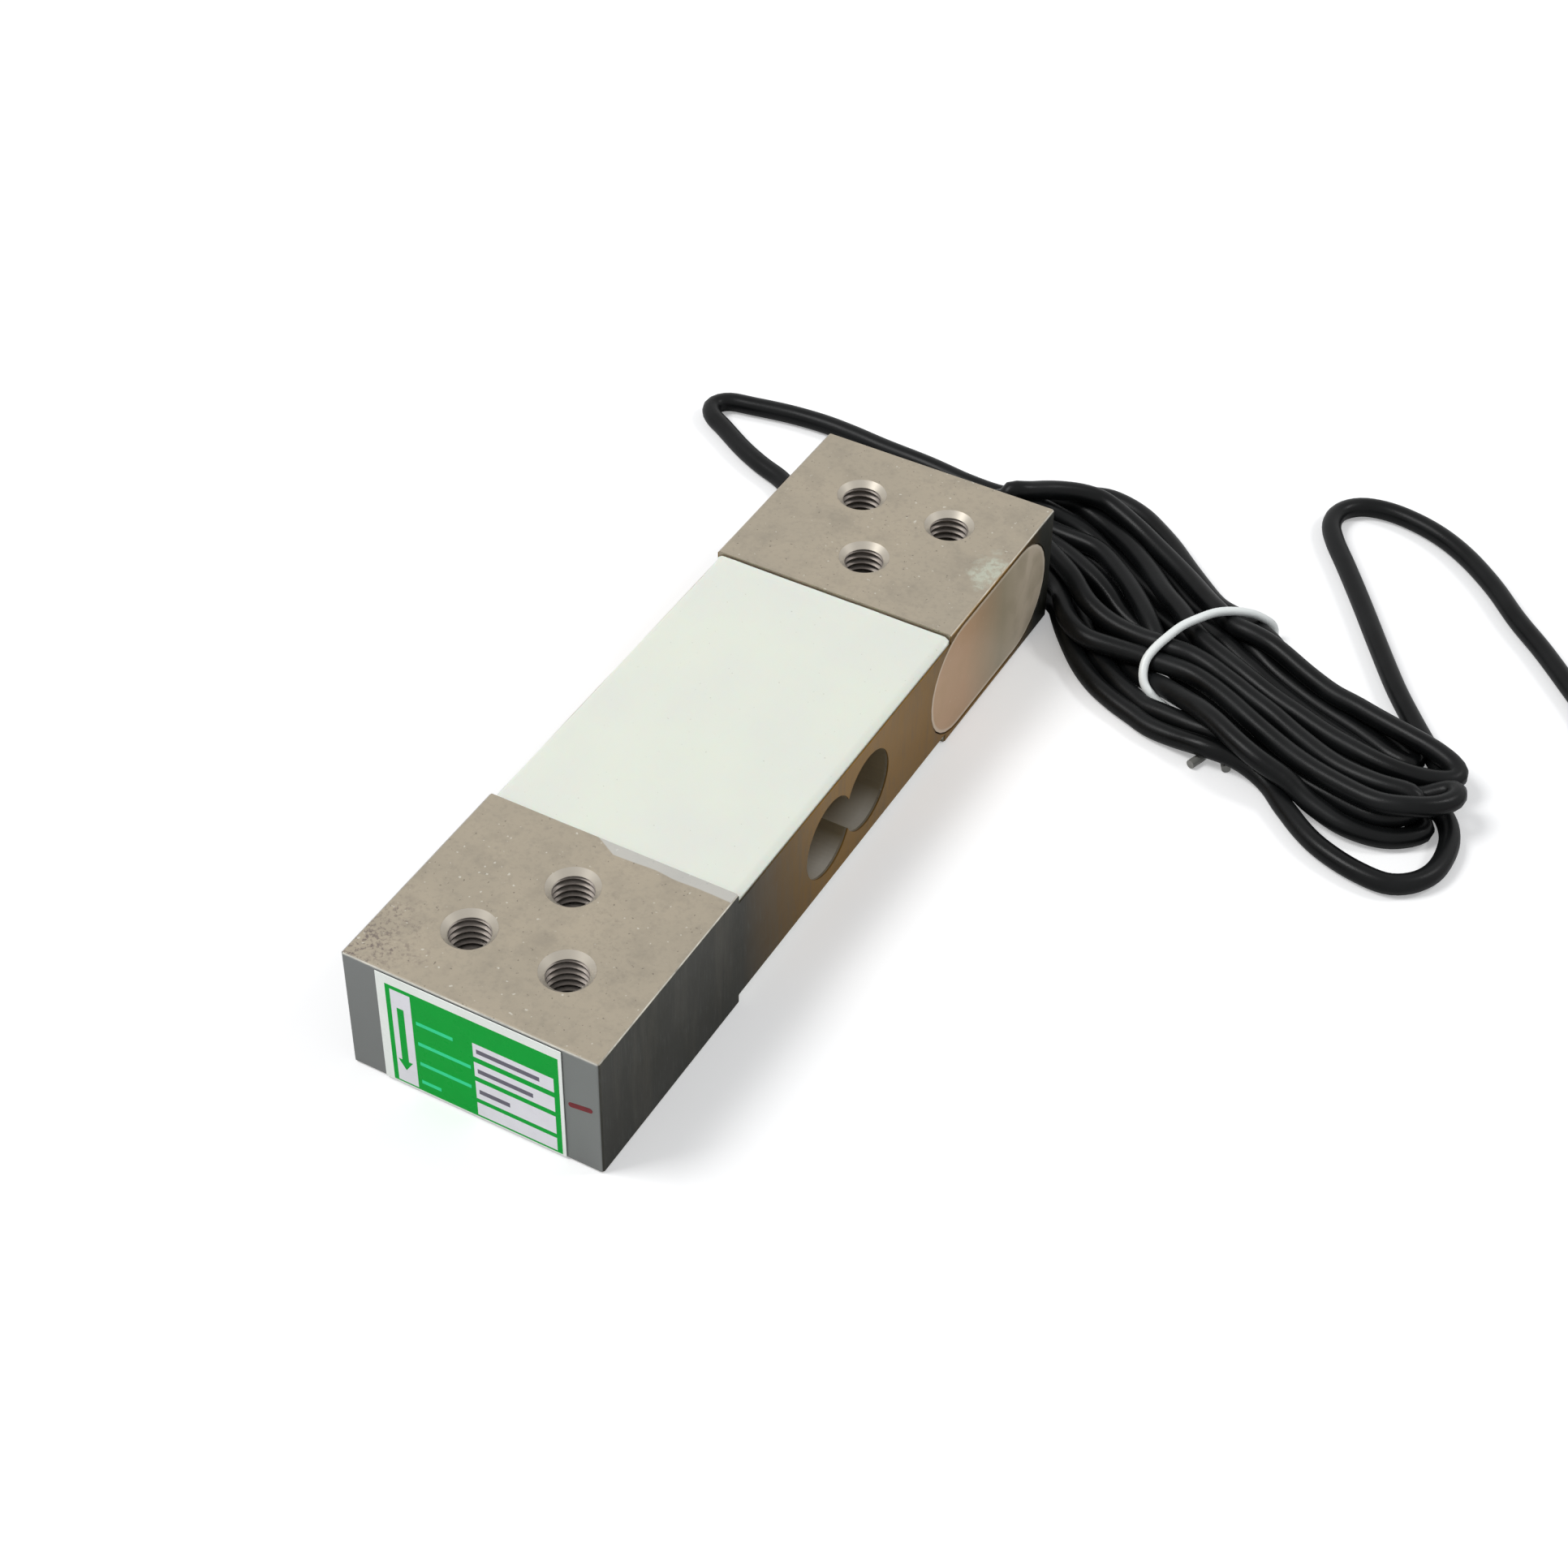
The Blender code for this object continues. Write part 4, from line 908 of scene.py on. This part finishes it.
def silicone():
    paint = Paint(
        "silicone_white", (0.83, 0.85, 0.745), 0.34, Subsurface_Weight=0.15, Subsurface_Scale=0.002, IOR=1.41
    )
    paint.tint(paint.between(paint.noise(22.0, 2.0), 0.4, 0.65, 0.0, 0.6), (0.80, 0.805, 0.745))
    grit = paint.between(paint.noise(0.55, 2.0), 0.735, 0.77, 0.0, 0.6)
    paint.tint(grit, (0.48, 0.46, 0.37))
    paint.gloss(paint.between(paint.noise(4.0, 3.0), 0.3, 0.7, 0.28, 0.42))
    paint.relief(paint.noise(1.2, 3.0, 0.55), 0.12, 0.08)
    paint.relief(grit, 0.4, 0.1)
    return paint


coat_finish = silicone()
COATS = [("silicone_top", "top_sealant", 1, 4), ("silicone_bottom", "bottom_sealant", -1, 9)]
for name, node, side, seed in COATS:
    coat = make_coat(name, node, side, seed, coat_finish)
    print(name, len(coat.data.polygons), "faces")


# %% [markdown]
# The wiring pocket is filled with potting resin. It was poured, so its face is flat but not even. It is
# pinker near the middle of the beam and greyer towards the end, with pale swirls and a soft gloss, and its
# rim is lighter where it crept up the wall. A plain brown would be quicker, but this face is seen close by.

# %% Potting
def potting():
    low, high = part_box("potting_plug")
    middle_y, middle_z = (low[1] + high[1]) / 2, (low[2] + high[2]) / 2
    end_radius = (high[2] - low[2]) / 2
    straight = (high[1] - low[1]) / 2 - end_radius
    paint = Paint("resin_taupe", (0.58, 0.365, 0.21), 0.4)
    y, z = paint.axis("Y"), paint.axis("Z")
    swirl = paint.node("ShaderNodeTexNoise")
    paint.feed(swirl, Vector=paint.places, Scale=1 / (11.0 * MM), Detail=2.0, Roughness=0.45, Distortion=1.2)
    paint.tint(paint.between(swirl.outputs[0], 0.42, 0.66, 0.0, 0.25), (0.50, 0.36, 0.22))
    far_end = paint.between(y, middle_y - 9 * MM, middle_y + 5 * MM)
    paint.tint(far_end, (0.43, 0.365, 0.25))
    pale = paint.maths("MULTIPLY", paint.between(y, middle_y + 5 * MM, middle_y + 14 * MM),
                       paint.between(swirl.outputs[0], 0.42, 0.60, 0.45, 0.95))
    paint.tint(pale, (0.68, 0.58, 0.44))
    paint.tint(paint.between(paint.noise(0.8, 2.0), 0.68, 0.76, 0.0, 0.4), (0.74, 0.62, 0.48))
    past = paint.maths("MAXIMUM", paint.maths("SUBTRACT", paint.maths("ABSOLUTE", paint.maths(
        "SUBTRACT", y, middle_y)), straight), 0.0)
    up = paint.maths("SUBTRACT", z, middle_z)
    squares = paint.maths("ADD", paint.maths("MULTIPLY", past, past), paint.maths("MULTIPLY", up, up))
    out = paint.maths("SQRT", squares)
    crept = paint.between(out, end_radius - 0.75 * MM, end_radius - 0.45 * MM, 0.0, 0.6)
    paint.tint(crept, (0.78, 0.68, 0.55))
    paint.gloss(paint.between(swirl.outputs[0], 0.3, 0.7, 0.3, 0.46))
    paint.relief(swirl.outputs[0], 0.25, 0.3)
    paint.relief(paint.noise(0.7, 3.0), 0.12, 0.05)
    return paint


dress("potting_plug", potting())
print("potting")


# %% [markdown]
# The label is printed film on the near end: a green field with a white column, an arrow, white rows and short
# plain bars. A picture could be mapped on it, but then it would not be sharp close up, so each printed field
# is a very thin plate of its own, sunk into the film and standing a few hundredths of a millimetre proud.

# %% Printed label
LABEL_NODE = "end_label"
label_low, label_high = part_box(LABEL_NODE)
label_left, label_right = label_low[0] / MM, label_high[0] / MM
label_foot, label_head = label_low[2] / MM, label_high[2] / MM
label_face = label_low[1] / MM
FILM_BACK = label_high[1] / MM
BORDER_LEFT, BORDER_RIGHT, BORDER_TOP, BORDER_FOOT = 1.6, 0.6, 1.75, 0.3
FRAME = 0.85
COLUMN = 3.6
ROWS = [(14.1, 17.05), (9.8, 12.95), (4.9, 8.75), (1.2, 3.95)]
ROW_LEFT, ROW_RIGHT = 0.6, 14.7
CAPTIONS = [(15.8, 6.5), (11.35, 9.4), (6.95, 9.2), (2.9, 3.5)]
CAPTION_LEFT = -9.4
VALUES = [(15.5, 11.0), (11.2, 9.7), (6.6, 5.4)]
VALUE_LEFT = 1.2
ARROW = [
    (-12.75, 17.4), (-11.55, 17.4), (-11.55, 6.0), (-10.85, 6.0), (-12.15, 3.9), (-13.45, 6.0), (-12.75, 6.0)
]


def thin_plate(shape, outline, back, front, finish):
    """A flat closed plate from an outline in (x, z), between two depths, in millimetres."""
    near = [shape.verts.new((x * MM, front * MM, z * MM)) for x, z in outline]
    far = [shape.verts.new((x * MM, back * MM, z * MM)) for x, z in outline]
    made = [shape.faces.new(near), shape.faces.new(far[::-1])]
    for k in range(len(outline)):
        turn = (k + 1) % len(outline)
        made.append(shape.faces.new((near[turn], near[k], far[k], far[turn])))
    for face in made:
        face.material_index = finish


def rectangle(left, right, foot, head):
    return [(left, foot), (right, foot), (right, head), (left, head)]


def print_finish(name, colour, roughness=0.3):
    paint = Paint(name, colour, roughness, Specular_IOR_Level=0.06)
    worn = tuple(c * 0.86 for c in colour)
    paint.tint(paint.between(paint.noise(3.5, 3.0), 0.45, 0.75, 0.0, 0.35), worn)
    paint.gloss(paint.between(paint.noise(2.0, 3.0), 0.3, 0.7, roughness - 0.06, roughness + 0.06))
    paint.relief(paint.noise(2.5, 2.0), 0.08, 0.05)
    return paint


def make_label():
    film, green, white, bars, pale = range(5)
    shape = bmesh.new()
    outside = rectangle(label_left, label_right, label_foot, label_head)
    thin_plate(shape, outside, FILM_BACK, label_face + 0.06, film)
    sunk = label_face + 0.10
    left, right = label_left + BORDER_LEFT, label_right - BORDER_RIGHT
    foot, head = label_foot + BORDER_FOOT, label_head - BORDER_TOP
    thin_plate(shape, rectangle(left, right, foot, head), sunk, label_face + 0.04, green)
    column = rectangle(left + FRAME, left + FRAME + COLUMN, foot + 0.35, head - 0.75)
    thin_plate(shape, column, sunk, label_face + 0.02, white)
    for low, high in ROWS:
        thin_plate(shape, rectangle(ROW_LEFT, ROW_RIGHT, low, high), sunk, label_face + 0.02, white)
    thin_plate(shape, ARROW, sunk, label_face, green)
    for middle, length in CAPTIONS:
        line = rectangle(CAPTION_LEFT, CAPTION_LEFT + length, middle - 0.35, middle + 0.35)
        thin_plate(shape, line, sunk, label_face, pale)
    for middle, length in VALUES:
        line = rectangle(VALUE_LEFT, VALUE_LEFT + length, middle - 0.45, middle + 0.45)
        thin_plate(shape, line, sunk, label_face, bars)
    return finished(
        "printed_label", shape,
        print_finish("print_film", (0.97, 1.0, 0.95)), print_finish("print_green", (0.001, 0.42, 0.045)),
        print_finish("print_white", (0.90, 0.88, 0.93)), print_finish("print_bars", (0.17, 0.16, 0.20)),
        print_finish("print_pale", (0.05, 0.80, 0.36)),
    )


label = make_label()
in_place(label, "label", LABEL_NODE)
print("label", len(label.data.polygons), "faces")


# %% [markdown]
# A short stroke of red marker stands beside the label. It could be painted by the beam's material, but that
# one chooses colours by large zones. A very thin plate with round ends keeps the stroke crisp.

# %% Ink mark beside the label
INK_LEFT, INK_RIGHT = 17.4, 20.6
INK_LEVEL = (12.7, 13.2)
INK_WIDTH = 1.0


def make_ink():
    """A short stroke of red ink with rounded ends, laid on the end face."""
    start = Vector((INK_LEFT, INK_LEVEL[0]))
    end = Vector((INK_RIGHT, INK_LEVEL[1]))
    onward = (end - start).normalized()
    heading = math.atan2(onward.y, onward.x)
    outline = []
    for centre, first in ((end, -math.pi / 2), (start, math.pi / 2)):
        for step in range(9):
            angle = heading + first + math.pi * step / 8
            outline.append(tuple(centre + Vector((math.cos(angle), math.sin(angle))) * INK_WIDTH / 2))
    shape = bmesh.new()
    thin_plate(shape, outline, -HALF_LENGTH + 0.05, -HALF_LENGTH - 0.03, 0)
    paint = Paint("ink_red", (0.20, 0.016, 0.022), 0.45, Specular_IOR_Level=0.2)
    paint.tint(paint.between(paint.noise(0.9, 3.0), 0.45, 0.7, 0.0, 0.7), (0.12, 0.014, 0.018))
    return finished("ink_mark", shape, paint)


ink = make_ink()
in_place(ink, "insulation_red")
print("ink mark")


# %% [markdown]
# The set is a pale floor, a white surround and two soft lamps. The lamps are several times wider than the
# beam is tall, because the photograph has no hard shadow. The floor glows a little towards the camera only,
# and more with distance, so the page is white while the shadow stays.

# %% Floor, lamps and surround
FLOOR_SIZE = 6.0
FLOOR_LEVEL = -0.02


def make_floor():
    bpy.ops.mesh.primitive_plane_add(size=FLOOR_SIZE, location=(0, 0, FLOOR_LEVEL * MM))
    floor = bpy.context.object
    floor.name = "floor"
    paint = Paint("paper_white", (0.86, 0.86, 0.86), 0.9)
    paint.shader.inputs["Emission Color"].default_value = (1, 1, 1, 1)
    seen = paint.node("ShaderNodeLightPath").outputs["Is Camera Ray"]
    away = paint.feed(paint.node("ShaderNodeVectorMath", operation="LENGTH"), in0=paint.places)
    glow = paint.between(away.outputs["Value"], 0.35, 1.6, 0.30, 0.80)
    paint.tree.links.new(paint.maths("MULTIPLY", seen, glow), paint.shader.inputs["Emission Strength"])
    floor.data.materials.append(paint.material)


def area_light(name, place, target, size, power):
    data = bpy.data.lights.new(name, "AREA")
    data.size = size
    data.energy = power
    light = bpy.data.objects.new(name, data)
    light.location = place
    light.rotation_euler = (Vector(target) - Vector(place)).to_track_quat("-Z", "Y").to_euler()
    bpy.context.collection.objects.link(light)


def make_world():
    world = bpy.data.worlds.new("surround")
    bpy.context.scene.world = world
    world.use_nodes = True
    tree = world.node_tree
    plain = tree.nodes["Background"]
    plain.inputs["Color"].default_value = (0.95, 0.97, 1.0, 1)
    plain.inputs["Strength"].default_value = 0.4
    white = tree.nodes.new("ShaderNodeBackground")
    white.inputs["Color"].default_value = (1, 1, 1, 1)
    white.inputs["Strength"].default_value = 1.0
    paths = tree.nodes.new("ShaderNodeLightPath")
    share = paths.outputs["Is Camera Ray"]
    for ray in ("Is Glossy Ray", "Is Transmission Ray"):
        either = tree.nodes.new("ShaderNodeMath")
        either.operation = "MAXIMUM"
        tree.links.new(share, either.inputs[0])
        tree.links.new(paths.outputs[ray], either.inputs[1])
        share = either.outputs[0]
    mixed = tree.nodes.new("ShaderNodeMixShader")
    tree.links.new(share, mixed.inputs[0])
    tree.links.new(plain.outputs[0], mixed.inputs[1])
    tree.links.new(white.outputs[0], mixed.inputs[2])
    tree.links.new(mixed.outputs[0], tree.nodes["World Output"].inputs["Surface"])


make_floor()
make_world()
area_light("key", (-0.7, -0.5, 1.3), (0, 0, 0), 0.6, 13)
area_light("fill", (0.8, 0.6, 1.1), (0, 0, 0), 0.3, 4)
bpy.context.scene.view_settings.view_transform = "Standard"
print("set built")
